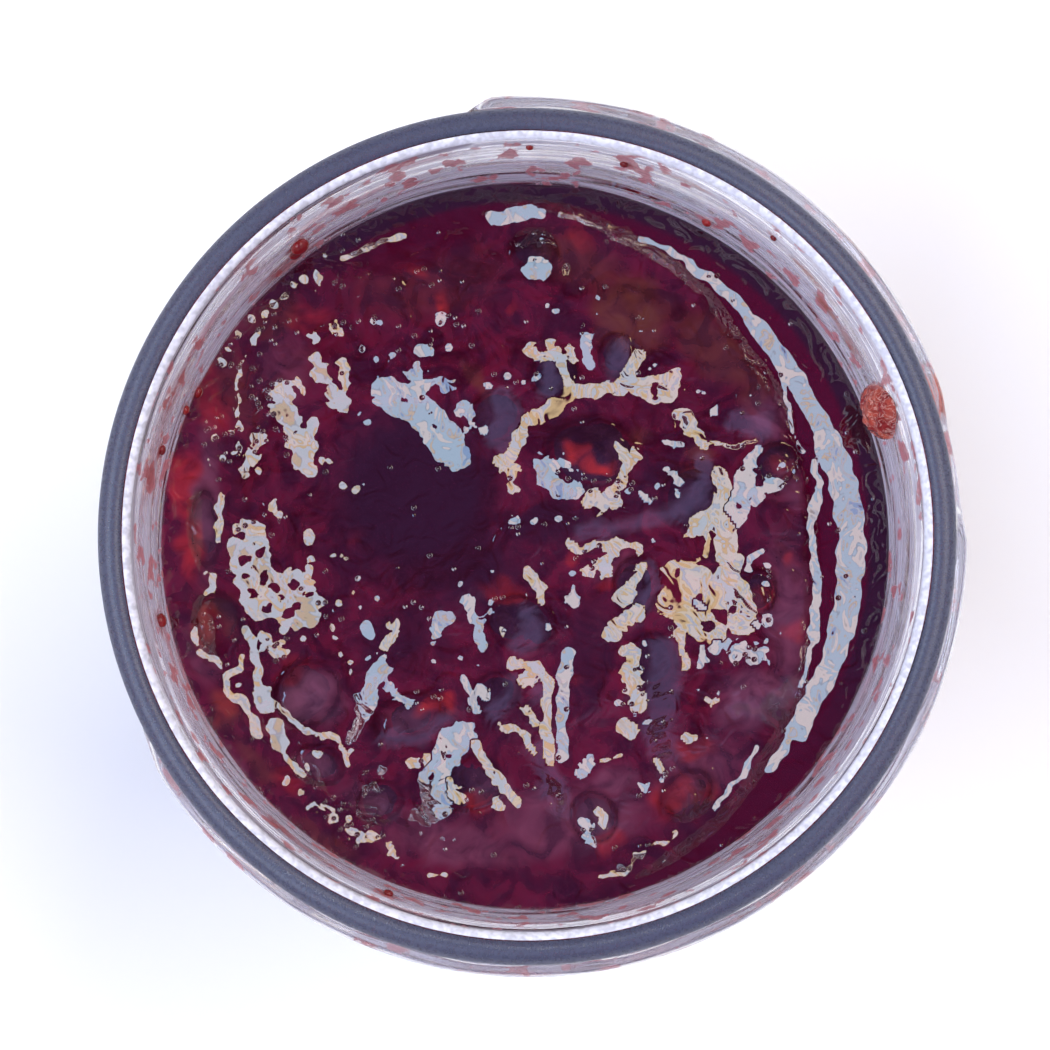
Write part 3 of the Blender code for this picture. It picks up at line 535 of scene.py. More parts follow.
RED, BROWN, MAUVE, CLEAR, GRAIN, CALM = list(Tint)[:6]
BLOTS: tuple[Blot, ...] = (
    Blot(RED, 4.6, 9.1, 1.5, 1.2, -20, 1.0),
    Blot(RED, 7.4, 7.7, 2.0, 0.75, -20, 0.85),
    Blot(RED, -2.3, -4.8, 2.6, 1.1, -15, 0.8),
    Blot(RED, -9.0, -16.0, 2.3, 1.1, 12, 0.85),
    Blot(RED, -8.2, 23.9, 1.0, 1.4, 0, 0.6),
    Blot(RED, -1.2, 23.8, 1.0, 0.8, 0, 0.3),
    Blot(RED, 5.6, 30.5, 2.2, 1.1, -25, 0.32),
    Blot(RED, -11.3, 27.7, 1.9, 1.2, -10, 0.4),
    Blot(RED, -21.8, 22.6, 2.6, 1.6, 0, 0.3),
    Blot(RED, 14.3, -25.2, 2.6, 2.1, 25, 0.62),
    Blot(RED, 17.6, -25.0, 1.7, 1.2, 30, 0.5),
    Blot(RED, 16.5, -20.6, 2.4, 1.1, 0, 0.4),
    Blot(RED, 8.1, -29.8, 1.8, 1.2, 30, 0.4),
    Blot(RED, -33.2, -0.6, 1.4, 3.4, 0, 0.55),
    Blot(RED, -33.8, 5.6, 1.4, 3.6, 0, 0.55),
    Blot(RED, -31.4, 14.0, 1.9, 4.2, 10, 0.4),
    Blot(RED, -31.3, -8.0, 1.9, 2.9, 15, 0.42),
    Blot(RED, -29.6, -16.0, 1.4, 1.8, 20, 0.3),
    Blot(RED, -23.7, -23.7, 1.7, 1.2, -30, 0.34),
    Blot(RED, -23.0, -12.4, 2.2, 1.2, 28, 0.3),
    Blot(RED, -5.1, -25.6, 1.2, 1.7, 20, 0.6),
    Blot(RED, 25.4, 7.4, 1.7, 1.3, 0, 0.34),
    Blot(RED, 23.2, -5.8, 1.0, 1.6, 0, 0.3),
    Blot(RED, 26.6, -8.8, 1.4, 1.2, 0, 0.34),
    Blot(RED, 26.6, -2.0, 0.7, 0.6, 0, 0.5),
    Blot(RED, 4.8, -1.7, 1.0, 1.0, 0, 0.42),
    Blot(RED, 7.9, -4.3, 1.2, 0.7, 10, 0.45),
    Blot(RED, 5.1, -13.6, 1.0, 0.6, 0, 0.28),
    Blot(RED, -16.5, 0.8, 1.0, 0.7, 30, 0.2),
    Blot(BROWN, 10.6, 23.0, 4.4, 4.0, -25, 0.95),
    Blot(BROWN, 5.0, 28.4, 5.4, 2.6, -25, 0.55),
    Blot(BROWN, 19.4, 19.2, 6.0, 3.0, -42, 0.7),
    Blot(BROWN, 23.0, 15.6, 2.2, 2.6, -20, 0.6),
    Blot(BROWN, 17.4, 8.6, 1.6, 1.0, -30, 0.7),
    Blot(BROWN, -4.9, 16.2, 0.9, 2.6, 28, 0.6),
    Blot(BROWN, -10.0, 26.0, 8.5, 3.6, 10, 0.3),
    Blot(BROWN, 15.6, 7.2, 2.0, 1.2, 0, 0.5),
    Blot(BROWN, 11.3, 10.4, 1.4, 1.2, 0, 0.5),
    Blot(BROWN, -31.0, -7.6, 2.2, 3.4, 15, 0.7),
    Blot(BROWN, -29.7, -16.4, 1.6, 2.4, 20, 0.8),
    Blot(BROWN, -26.6, -21.6, 1.2, 3.4, 42, 0.6),
    Blot(BROWN, -20.0, -29.0, 1.0, 4.0, 58, 0.6),
    Blot(BROWN, -25.0, 22.6, 3.6, 2.0, 45, 0.5),
    Blot(BROWN, -28.6, 15.0, 2.0, 5.0, 15, 0.4),
    Blot(BROWN, 25.6, -25.0, 5.0, 0.9, 45, 0.6),
    Blot(MAUVE, 26.3, -7.5, 2.4, 9.5, 4, 0.55),
    Blot(MAUVE, 26.6, 6.0, 2.2, 3.4, 10, 0.45),
    Blot(MAUVE, 24.4, 12.6, 2.6, 3.4, 20, 0.5),
    Blot(MAUVE, 22.5, -15.5, 4.4, 3.0, 25, 0.7),
    Blot(MAUVE, 17.0, -22.5, 5.4, 3.0, 25, 0.5),
    Blot(MAUVE, 4.0, -27.6, 9.0, 3.6, 8, 0.5),
    Blot(MAUVE, -7.0, -29.6, 8.0, 2.6, -10, 0.5),
    Blot(MAUVE, 8.5, -23.6, 3.0, 1.6, 20, 0.5),
    Blot(MAUVE, -21.2, -15.6, 3.4, 3.2, 40, 0.85),
    Blot(MAUVE, -21.0, -22.0, 2.8, 1.8, 160, 0.45),
    Blot(MAUVE, -15.6, -25.6, 3.0, 1.4, 160, 0.45),
    Blot(MAUVE, -11.0, -17.6, 4.6, 1.8, 12, 0.28),
    Blot(MAUVE, -32.2, -11.0, 1.4, 3.4, 20, 0.4),
    Blot(MAUVE, -3.0, -24.6, 2.0, 3.0, 35, 0.34),
    Blot(MAUVE, 9.0, -2.4, 2.4, 1.4, 30, 0.3),
    Blot(MAUVE, -31.6, 4.0, 1.6, 9.0, 0, 0.6),
    Blot(MAUVE, -29.4, -22.0, 1.2, 5.0, 40, 0.5),
    Blot(MAUVE, -24.0, 17.0, 3.0, 4.0, 0, 0.35),
    Blot(CALM, -8.0, -1.0, 9.5, 6.5, -20, 0.9),
    Blot(CALM, 2.6, 2.0, 6.5, 2.4, 5, 0.8),
    Blot(CALM, -12.0, -9.0, 5.0, 4.0, 0, 0.6),
    Blot(CALM, 4.6, 11.2, 4.0, 2.4, 0, 0.6),
    Blot(CALM, -3.0, -16.5, 5.0, 3.0, -30, 0.5),
    Blot(CALM, 6.0, -11.0, 3.0, 6.5, 0, 0.7),
    Blot(CALM, 12.6, -14.0, 2.4, 6.0, 0, 0.5),
    Blot(CALM, -16.0, 3.0, 4.0, 7.0, 0, 0.6),
    Blot(CALM, 12.6, 5.4, 4.2, 3.0, 20, 0.6),
    Blot(CLEAR, -10.0, 31.4, 11.0, 2.2, 14, 1.0),
    Blot(CLEAR, -13.0, 28.2, 6.0, 1.4, 14, 0.7),
    Blot(CLEAR, -29.4, -11.8, 1.0, 7.0, 18, 0.8),
    Blot(CLEAR, -27.3, -4.6, 0.9, 3.0, 10, 0.6),
    Blot(GRAIN, -26.6, 14.5, 3.2, 6.5, 15, 1.0),
    Blot(GRAIN, -30.4, 9.0, 1.6, 5.0, 5, 1.0),
    Blot(GRAIN, -25.0, 21.0, 3.4, 2.2, 45, 0.9),
    Blot(GRAIN, -26.8, 2.0, 2.4, 2.4, 0, 0.8),
    Blot(GRAIN, -19.6, 21.6, 2.6, 1.6, 0, 0.5),
    Blot(GRAIN, -12.4, 26.6, 6.5, 2.4, 10, 0.4),
    Blot(GRAIN, -6.4, 21.5, 3.4, 2.6, 0, 0.35),
    Blot(GRAIN, -0.6, 16.0, 3.6, 1.2, 0, 0.8),
    Blot(GRAIN, 1.8, 2.2, 4.6, 0.8, 0, 0.75),
    Blot(GRAIN, 8.2, 5.6, 4.6, 1.6, -10, 0.7),
    Blot(GRAIN, 25.2, 7.0, 1.8, 1.4, 0, 0.9),
    Blot(GRAIN, -24.9, -10.3, 1.9, 1.4, -40, 1.0),
    Blot(GRAIN, -31.2, -8.8, 1.6, 2.6, 10, 0.8),
    Blot(GRAIN, -28.8, -13.6, 1.4, 1.0, 0, 0.9),
    Blot(GRAIN, -19.6, -6.4, 2.4, 3.2, 0, 0.35),
    Blot(GRAIN, -9.6, -15.4, 2.8, 1.4, 12, 0.9),
    Blot(GRAIN, -2.4, -5.2, 2.6, 1.4, 0, 0.6),
    Blot(GRAIN, -2.8, -14.0, 1.8, 1.4, 0, 0.5),
    Blot(GRAIN, -17.0, -27.4, 5.0, 1.6, -35, 0.9),
    Blot(GRAIN, -15.4, -24.0, 2.2, 1.6, 0, 0.8),
    Blot(GRAIN, -5.0, -24.8, 1.6, 2.0, 0, 0.7),
    Blot(GRAIN, 6.0, -1.8, 2.6, 1.6, 0, 0.5),
    Blot(GRAIN, 10.9, -13.0, 1.4, 4.0, 0, 0.6),
    Blot(GRAIN, 21.6, -11.2, 2.6, 1.0, 0, 1.0),
    Blot(GRAIN, 24.0, -4.4, 1.0, 4.4, 0, 0.5),
    Blot(GRAIN, 13.2, -22.6, 2.0, 1.6, 0, 0.5),
    Blot(GRAIN, 6.6, -28.2, 1.4, 1.6, 0, 0.5),
    Blot(GRAIN, 0.4, 30.0, 2.6, 1.4, 0, 0.35),
)


@dataclass
class SauceSurface:
    """The sauce's surface as a height over each point of the plane."""

    bore_radius: float = 36.0 * MM
    level: float = 77.5 * MM
    solid_meniscus_rise: float = 1.5 * MM
    solid_meniscus_width: float = 3.2 * MM
    meniscus_rise: float = 0.9 * MM
    meniscus_extra_rise: float = 1.7 * MM
    meniscus_width: float = 1.6 * MM
    meniscus_extra_width: float = 1.2 * MM
    meniscus_half_angle: float = 150.0
    widest_meniscus: Point = (60.0, 80.0)
    # Painted shade: a dark band painted into the sauce along part of the glass.
    painted_edge_shade: float = 2.1 * MM
    painted_edge_shade_core: float = 0.7
    painted_edge_shade_window: Point = (52.0, 105.0)
    painted_edge_shade_ends_share: float = 0.3
    pool_dip: float = 1.0 * MM
    pool_bearing: float = 12.0
    pool_half_angle: float = 112.0
    pool_inner_radius: float = 28.3 * MM
    pool_bank: float = 1.6 * MM
    pool_ends_share: float = 0.3
    scallop: float = 0.9 * MM
    calm_dip: float = 0.5 * MM
    calm_middle: Point = (-11.0, 5.0)
    calm_radius: float = 11.0 * MM
    heap_rise: float = 1.0 * MM
    heap_bearing: float = 172.0
    heap_half_angle: float = 48.0
    heap_inner_radius: float = 29.0 * MM
    pulp_relief: float = 0.3 * MM
    small_relief_share: float = 0.15
    grain_relief: float = 0.1 * MM
    calm_hides_grain: float = 0.7
    # How dark the painted shade is where the sauce meets a berry.
    painted_valley_shade_strength: float = 0.75
    berry_flank: float = 4.0
    fillet: float = 1.2 * MM
    film_depth: float = 0.12 * MM
    tint_waver: float = 0.9 * MM
    lumps: PlaneNoise = field(default_factory=lambda: PlaneNoise(3, 6.0 * MM))
    small_lumps: PlaneNoise = field(default_factory=lambda: PlaneNoise(4, 2.1 * MM))
    fine_lumps: PlaneNoise = field(default_factory=lambda: PlaneNoise(5, 0.9 * MM))
    bank_waver: PlaneNoise = field(default_factory=lambda: PlaneNoise(8, 5.5 * MM))

    def pool(self, x: np.ndarray, y: np.ndarray) -> np.ndarray:
        """Gives 1 in the pool of clear syrup between the pulp and the glass, and 0 on the pulp."""
        width = bearing_window(np.arctan2(y, x), self.pool_bearing, self.pool_half_angle)
        bank = self.bore_radius - (self.bore_radius - self.pool_inner_radius) * width
        bank = bank + self.scallop * self.bank_waver.at(x, y) * width
        inside = ramp(np.hypot(x, y), bank - self.pool_bank / 2, bank + self.pool_bank / 2)
        return inside * ramp(width, 0.0, self.pool_ends_share)

    def calm(self, x: np.ndarray, y: np.ndarray) -> np.ndarray:
        """Gives 1 in the flat patch of syrup left of the middle, and 0 outside it."""
        away = np.hypot(x - self.calm_middle[0] * MM, y - self.calm_middle[1] * MM)
        return 1.0 - ramp(away, self.calm_radius / 2, self.calm_radius)

    def level_off_the_wall(self, x: np.ndarray, y: np.ndarray) -> np.ndarray:
        """Gives the surface with its dips and its heap, without lumps and without the rise at the glass."""
        heap = bearing_window(np.arctan2(y, x), self.heap_bearing, self.heap_half_angle)
        heap = heap * ramp(np.hypot(x, y), self.heap_inner_radius, self.bore_radius)
        dips = self.pool_dip * self.pool(x, y) + self.calm_dip * self.calm(x, y)
        return self.level - dips + self.heap_rise * heap

    def solid_level(self, x: np.ndarray, y: np.ndarray) -> np.ndarray:
        """Gives the surface as the frame's solids have it, on which the berries stand."""
        radius = np.hypot(x, y)
        rise = ramp(radius, self.bore_radius - self.solid_meniscus_width, self.bore_radius + TINY) ** 2
        return self.level_off_the_wall(x, y) + self.solid_meniscus_rise * rise

    def meniscus(self, x: np.ndarray, y: np.ndarray) -> np.ndarray:
        """Gives how far the syrup climbs towards the glass, most beside the pool."""
        bearing = np.arctan2(y, x)
        higher = bearing_window(bearing, self.pool_bearing, self.meniscus_half_angle)
        wider = bearing_window(bearing, *self.widest_meniscus)
        rise = self.meniscus_rise + self.meniscus_extra_rise * higher
        width = self.meniscus_width + self.meniscus_extra_width * wider
        return rise * np.exp(-np.clip(self.bore_radius - np.hypot(x, y), 0.0, None) / width)

    def berry_top(self, berry: Berry, x: np.ndarray, y: np.ndarray) -> np.ndarray:
        """Gives a berry's upper side as a height, falling away steeply outside it.

        Args:
            berry: The berry.
            x: Places along X, in metres.
            y: Places along Y, in metres.

        Returns:
            Heights in metres.
        """
        out = out_of_oval(x, y, (berry.x, berry.y), (berry.length / 2, berry.width / 2), berry.turn)
        cap = np.sqrt(np.clip(1.0 - out * out, 0.0, None))
        past = self.berry_flank * np.clip(out - 1.0, 0.0, None)
        return self.berry_middle(berry) + berry.half_height * (cap - past)

    def berry_middle(self, berry: Berry) -> float:
        """Gives the height of a berry's middle."""
        at = self.solid_level(np.array([berry.x * MM]), np.array([berry.y * MM]))
        return float(at[0]) + berry.rise * MM - berry.half_height

    def blots(self, x: np.ndarray, y: np.ndarray) -> dict[Tint, np.ndarray]:
        """Gives how much of each tint lies at each point.

        Args:
            x: Places along X, in metres.
            y: Places along Y, in metres.

        Returns:
            One array of shares for each tint that the blots name.
        """
        warp_x = x + self.tint_waver * self.small_lumps.at(x, y)
        warp_y = y + self.tint_waver * self.small_lumps.at(y + 0.5, x)
        found = {}
        for blot in BLOTS:
            share = blot.share(warp_x, warp_y)
            found[blot.tint] = np.maximum(found.get(blot.tint, 0.0), share)
        return found

    def lay(self, x: np.ndarray, y: np.ndarray) -> tuple[np.ndarray, dict[Tint, np.ndarray]]:
        """Lays the wet surface over the pulp and round the berries.

        Args:
            x: Places along X, in metres.
            y: Places along Y, in metres.

        Returns:
            Heights in metres, and one array of shares for each tint.
        """
        masks = self.blots(x, y)
        pool, calm = self.pool(x, y), self.calm(x, y)
        rough = (1.0 - pool) * (1.0 - calm)
        masks[Tint.GRAIN] = masks[Tint.GRAIN] * (1.0 - pool) * (1.0 - self.calm_hides_grain * calm)
        masks[Tint.CLEAR_SYRUP] = np.maximum(masks[Tint.CLEAR_SYRUP], pool)
        # Painted shade: the dark band along the glass goes into the calm mask.
        painted_shade_core = self.bore_radius - self.painted_edge_shade_core * self.painted_edge_shade
        edge = ramp(np.hypot(x, y), self.bore_radius - self.painted_edge_shade, painted_shade_core)
        beside = bearing_window(np.arctan2(y, x), *self.painted_edge_shade_window)
        edge = edge * ramp(beside, 0.0, self.painted_edge_shade_ends_share)
        masks[Tint.CALM] = np.maximum(masks[Tint.CALM], np.maximum(calm, edge))
        film = self.level_off_the_wall(x, y) + self.meniscus(x, y)
        lumps = self.lumps.at(x, y) + self.small_relief_share * self.small_lumps.at(x, y)
        film = film + self.pulp_relief * rough * lumps
        film = film + self.grain_relief * self.fine_lumps.at(x, y) * masks[Tint.GRAIN]
        # Painted shade: a dark mask where the film comes near each berry's side.
        masks[Tint.VALLEY] = np.zeros_like(x)
        for berry in BERRIES:
            top = self.berry_top(berry, x, y) - self.film_depth
            near = np.clip(1.0 - np.abs(film - top) / self.fillet, 0.0, 1.0)
            masks[Tint.VALLEY] = np.maximum(masks[Tint.VALLEY], self.painted_valley_shade_strength * near * near)
            film = smooth_max(film, top, self.fillet)
        return film, masks


@dataclass
class SyrupFilm:
    """How the film of syrup settles on what it covers, and where it leans so that it shines."""

    looked_at_from: Vector
    settled_slope: float = math.tan(math.radians(4.8))
    upright_below: float = 0.15
    settled_above: float = 0.45
    shown_past_edge: float = 1.0
    sway: float = math.radians(5.0)
    edge_waver: float = 0.35 * MM
    search_margin: float = 1.5 * MM
    sway_x: PlaneNoise = field(default_factory=lambda: PlaneNoise(11, 2.3 * MM))
    sway_y: PlaneNoise = field(default_factory=lambda: PlaneNoise(12, 2.3 * MM))
    waver_x: PlaneNoise = field(default_factory=lambda: PlaneNoise(13, 1.5 * MM))
    waver_y: PlaneNoise = field(default_factory=lambda: PlaneNoise(14, 1.5 * MM))

    def settle(self, piece: bpy.types.Object) -> None:
        """Evens out the normals of a piece's upper side, as syrup fills its hollows.

        Args:
            piece: The piece, in its place.
        """
        normals = vector_rows(piece.data.vertex_normals)
        up = np.clip(normals[:, 2], self.upright_below, None)
        slope = normals[:, :2] / up[:, None]
        steep = np.maximum(np.hypot(slope[:, 0], slope[:, 1]), 1e-6)
        eased = self.settled_slope * np.tanh(steep / self.settled_slope)
        kept = 1.0 - ramp(normals[:, 2], self.upright_below, self.settled_above)
        settled = unit_rows(np.column_stack((slope * (eased / steep)[:, None], np.ones(len(up)))))
        blend = unit_rows(normals * kept[:, None] + settled * (1.0 - kept[:, None]))
        piece.data.normals_split_custom_set_from_vertices(blend.tolist())

    def shine(self, piece: bpy.types.Object) -> None:
        """Stores on a piece how far inside a glint each point is, how ragged that glint is, and its normal.

        Args:
            piece: The piece, in its place.
        """
        at = vector_rows(piece.data.attributes["position"].data)
        x, y = at[:, 0], at[:, 1]
        warp_x = x + self.edge_waver * self.waver_x.at(x, y)
        warp_y = y + self.edge_waver * self.waver_y.at(x, y)
        reach, rag = np.full(len(x), -self.shown_past_edge), np.zeros(len(x))
        way = np.tile((0.0, 0.0, 1.0), (len(x), 1))
        for glint in GLINTS:
            near = glint.near(x, y, self.search_margin)
            away = distance_to_path(warp_x[near], warp_y[near], glint.path)
            crisp = glint.mirrored.crispness
            inside = (glint.half_width - away / MM) * crisp
            better = inside > reach[near]
            chosen = near[better]
            reach[chosen], rag[chosen] = inside[better], glint.ragged * crisp
            way[chosen] = glint.mirrored.way
        for pit_x, pit_y, radius in PITS:
            reach = np.minimum(reach, np.hypot(warp_x - pit_x * MM, warp_y - pit_y * MM) / MM - radius)
        lean = unit_rows(way + unit_rows(np.array(self.looked_at_from) - at))
        lean[:, 0] += self.sway * self.sway_x.at(x, y)
        lean[:, 1] += self.sway * self.sway_y.at(x, y)
        set_mask(piece, "glint_reach", np.clip(reach, -1.0, 1.0) + self.shown_past_edge)
        set_mask(piece, "glint_rag", rag)
        layer = piece.data.attributes.new("glint_lean", "FLOAT_VECTOR", "POINT")
        layer.data.foreach_set("vector", lean.astype(np.float32).ravel())


def new_material(name: str) -> tuple[bpy.types.Material, bpy.types.NodeTree, bpy.types.Node]:
    """Makes a material with one Principled BSDF.

    Args:
        name: The material's name.

    Returns:
        The material, its node tree and its shader.
    """
    made = bpy.data.materials.new(name)
    made.use_nodes = True
    return made, made.node_tree, made.node_tree.nodes["Principled BSDF"]


def feed(tree: bpy.types.NodeTree, node: bpy.types.Node, inputs: dict) -> None:
    """Sets or links a node's inputs.

    Args:
        tree: The node's tree.
        node: The node.
        inputs: Values or sockets by the input's name or number. A colour goes without its alpha.
    """
    for key, value in inputs.items():
        socket = node.inputs[key]
        if isinstance(value, bpy.types.NodeSocket):
            tree.links.new(value, socket)
        else:
            socket.default_value = (*value, 1.0) if socket.type == "RGBA" else value


def add_node(tree: bpy.types.NodeTree, kind: str, inputs: dict | None = None, **settings) -> bpy.types.Node:
    """Adds a node, sets its options, and sets or links its inputs.

    Args:
        tree: The tree that gets the node.
        kind: The node's type, without ShaderNode.
        inputs: Values or sockets by the input's name or number.
        **settings: The node's own options.

    Returns:
        The node.
    """
    node = tree.nodes.new("ShaderNode" + kind)
    for name, value in settings.items():
        setattr(node, name, value)
    feed(tree, node, inputs or {})
    return node


def maths(tree: bpy.types.NodeTree, operation: str, *values) -> bpy.types.NodeSocket:
    """Works out one number from values or sockets with a Math node."""
    return add_node(tree, "Math", dict(enumerate(values)), operation=operation).outputs[0]


def fade(
    tree: bpy.types.NodeTree, value, span: Point, result: Point = (0.0, 1.0), **settings
) -> bpy.types.NodeSocket:
    """Turns a number into a share.

    Args:
        tree: The tree that gets the node.
        value: The number's socket.
        span: The numbers between which the share changes.
        result: The shares at the two ends of the span.
        **settings: The Map Range node's own options.

    Returns:
        The share's socket.
    """
    ends = {"From Min": span[0], "From Max": span[1], "To Min": result[0], "To Max": result[1]}
    return add_node(tree, "MapRange", {"Value": value, **ends}, **settings).outputs["Result"]


def noisy(
    tree: bpy.types.NodeTree, place, scale: float, detail: float, distortion: float = 0.0,
    roughness: float = 0.5,
) -> bpy.types.NodeSocket:
    """Adds smooth noise.

    Args:
        tree: The tree that gets the node.
        place: The socket of the place.
        scale: How many waves there are to a unit.
        detail: How many finer layers there are.
        distortion: How far the noise is pulled about.
        roughness: How strong each finer layer is.

    Returns:
        The noise's socket.
    """
    inputs = {"Vector": place, "Scale": scale, "Detail": detail}
    inputs |= {"Distortion": distortion, "Roughness": roughness}
    return add_node(tree, "TexNoise", inputs).outputs["Fac"]


def mask_of(tree: bpy.types.NodeTree, name: str) -> bpy.types.NodeSocket:
    """Reads a mask that is stored on the mesh."""
    return add_node(tree, "Attribute", attribute_name=name).outputs["Fac"]


def object_place(tree: bpy.types.NodeTree) -> bpy.types.NodeSocket:
    """Gives the place on the object, in metres."""
    return add_node(tree, "TexCoord").outputs["Object"]


def mixed(tree: bpy.types.NodeTree, share, first, second) -> bpy.types.NodeSocket:
    """Mixes two colours by a share, each a colour or a socket.

    Args:
        tree: The tree that gets the node.
        share: How much of the second colour shows.
        first: The colour at 0.
        second: The colour at 1.

    Returns:
        The mixed colour's socket.
    """
    return add_node(tree, "Mix", {0: share, 6: first, 7: second}, data_type="RGBA").outputs[2]


def new_group(
    name: str, entry: str, results: Sequence[str], kind: str
) -> tuple[bpy.types.NodeTree, bpy.types.NodeSocket, bpy.types.Node]:
    """Starts a node group that takes one number.

    Args:
        name: The group's name.
        entry: The name of the number that goes in.
        results: The names of what comes out.
        kind: What comes out, Float or Vector.

    Returns:
        The group, the socket of its number and its output node.
    """
    group = bpy.data.node_groups.new(name, "ShaderNodeTree")
    group.interface.new_socket(entry, in_out="INPUT", socket_type="NodeSocketFloat")
    for result in results:
        group.interface.new_socket(result, in_out="OUTPUT", socket_type="NodeSocket" + kind)
    return group, group.nodes.new("NodeGroupInput").outputs[entry], group.nodes.new("NodeGroupOutput")


@dataclass(frozen=True)
class PulpGrain:
    """Soft fruit as two masks, cloudy patches and thin threads. Scales are per metre."""

    cloud_scale: float = 300.0
    cloud_detail: float = 3.0
    cloud_distortion: float = 1.2
    cloud_span: Point = (0.38, 0.66)
    thread_scale: float = 700.0
    thread_detail: float = 2.0
    thread_distortion: float = 2.0
    thread_width: float = 0.035

    def group(self) -> bpy.types.NodeTree:
        """Makes the node group, with a seed in and the two masks out."""
        group, seed, out = new_group("pulp_grain", "Seed", ("Cloud", "Threads"), "Float")
        place = add_node(group, "VectorMath", {0: object_place(group), 1: seed}, operation="ADD").outputs[0]
        cloud = noisy(group, place, self.cloud_scale, self.cloud_detail, self.cloud_distortion)
        threads = noisy(group, place, self.thread_scale, self.thread_detail, self.thread_distortion)
        ridge = maths(group, "ABSOLUTE", maths(group, "SUBTRACT", threads, 0.5))
        threads = fade(group, ridge, (0.0, self.thread_width), (1.0, 0.0))
        feed(group, out, {"Cloud": fade(group, cloud, self.cloud_span), "Threads": threads})
        return group


@dataclass(frozen=True)
class FilmRelief:
    """The film of syrup's normals: its glints' edges, its ripples and its beads. Scales are per metre."""

    lobe_scale: float = 800.0
    lobe_detail: float = 1.5
    lobe_distortion: float = 0.4
    lobe_reach: float = 2.4
    edge_span: Point = (0.95, 1.05)
    ripple_scale: float = 380.0
    ripple_detail: float = 1.0
    ripple_distortion: float = 1.6
    ripple_height: float = 0.09
    bead_scale: float = 1250.0
    bead_radius: float = 0.38
    bead_height: float = 0.15

    def group(self) -> bpy.types.NodeTree:
        """Makes the node group, with the density of the beads in and a normal out."""
        group, density, out = new_group("syrup_film", "Beads", ("Normal",), "Vector")
        place = object_place(group)
        lobes = noisy(group, place, self.lobe_scale, self.lobe_detail, self.lobe_distortion)
        off = maths(group, "MULTIPLY", maths(group, "ADD", lobes, -0.5), mask_of(group, "glint_rag"))
        edge = maths(group, "MULTIPLY_ADD", off, self.lobe_reach, mask_of(group, "glint_reach"))
        lying = add_node(group, "NewGeometry").outputs["Normal"]
        lean = add_node(group, "Attribute", attribute_name="glint_lean").outputs["Vector"]
        sides = {0: fade(group, edge, self.edge_span), 4: lying, 5: lean}
        leaning = add_node(group, "Mix", sides, data_type="VECTOR").outputs[1]
        level = add_node(group, "VectorMath", {0: leaning}, operation="NORMALIZE").outputs[0]
        ripples = noisy(group, place, self.ripple_scale, self.ripple_detail, self.ripple_distortion)
        cells = add_node(group, "TexVoronoi", {"Vector": place, "Scale": self.bead_scale})
        draw = add_node(group, "SeparateXYZ", {0: cells.outputs["Color"]}).outputs["X"]
        round_top = fade(
            group, cells.outputs["Distance"], (0.0, self.bead_radius), (1.0, 0.0),
            interpolation_type="SMOOTHSTEP",
        )
        beads = maths(group, "MULTIPLY", round_top, maths(group, "LESS_THAN", draw, density))
        beads = maths(group, "MULTIPLY", beads, self.bead_height)
        height = maths(group, "MULTIPLY_ADD", ripples, self.ripple_height, beads)
        bump = add_node(group, "Bump", {"Strength": 1.0, "Distance": MM, "Height": height, "Normal": level})
        feed(group, out, {"Normal": bump.outputs["Normal"]})
        return group


@dataclass(frozen=True)
class NodeGroups:
    """The node groups that the wet finishes share."""

    pulp: bpy.types.NodeTree
    film: bpy.types.NodeTree


@dataclass(frozen=True)
class WetFinish:
    """Soft fruit under a film of syrup. The masks on the mesh say what it is made of, and where painted shade
    darkens it.
    """

    name: str = "cranberry_sauce_wet"
    deep: Colour = (0.030, 0.0014, 0.0085)
    lighter: Colour = (0.088, 0.0045, 0.0175)
    threads: Colour = (0.06, 0.02, 0.03)
    # Painted shade where the sauce meets a berry.
    valley: Colour = (0.014, 0.0003, 0.0025)
    # Darker flat syrup, and painted shade in the band along the glass.
    calm: Colour = (0.018, 0.003, 0.0100)
    syrup: Colour = (0.05, 0.0003, 0.0075)
    mauve: Colour = (0.15, 0.048, 0.085)
    brown: Colour = (0.092, 0.024, 0.016)
    red: Colour = (0.36, 0.02, 0.016)
    threads_share: float = 0.22
    patchiness: float = 0.6
    bare_beads: float = 0.035
    grain_beads: float = 0.9
    seed: float = 0.0
    roughness: float = 0.03
    ior: float = 1.75

    def material(self, groups: NodeGroups) -> bpy.types.Material:
        """Makes the material.

        Args:
            groups: The shared node groups.

        Returns:
            The material, which reads the masks on the mesh.
        """
        made, tree, shader = new_material(self.name)
        pulp = add_node(tree, "Group", {"Seed": self.seed}, node_tree=groups.pulp)
        masks = {tint: mask_of(tree, tint.value) for tint in Tint}
        cloud = pulp.outputs["Cloud"]
        threads = maths(tree, "MULTIPLY", pulp.outputs["Threads"], self.threads_share)
        colour = mixed(tree, threads, mixed(tree, cloud, self.deep, self.lighter), self.threads)
        patchy = maths(tree, "MULTIPLY_ADD", cloud, self.patchiness, 1.0 - self.patchiness)
        for tint, tone in ((MAUVE, self.mauve), (BROWN, self.brown), (RED, self.red)):
            colour = mixed(tree, maths(tree, "MULTIPLY", masks[tint], patchy), colour, tone)
        # Painted shade: a dark colour where the sauce meets a berry, and the calm colour, which is partly
        # painted shade along the glass.
        for tint, tone in ((Tint.VALLEY, self.valley), (CLEAR, self.syrup), (CALM, self.calm)):
            colour = mixed(tree, masks[tint], colour, tone)
        beads = maths(tree, "MULTIPLY_ADD", masks[GRAIN], self.grain_beads, self.bare_beads)
        film = add_node(tree, "Group", {"Beads": beads}, node_tree=groups.film).outputs["Normal"]
        feed(tree, shader, {"Base Color": colour, "Normal": film})
        feed(tree, shader, {"Roughness": self.roughness, "IOR": self.ior})
        return made


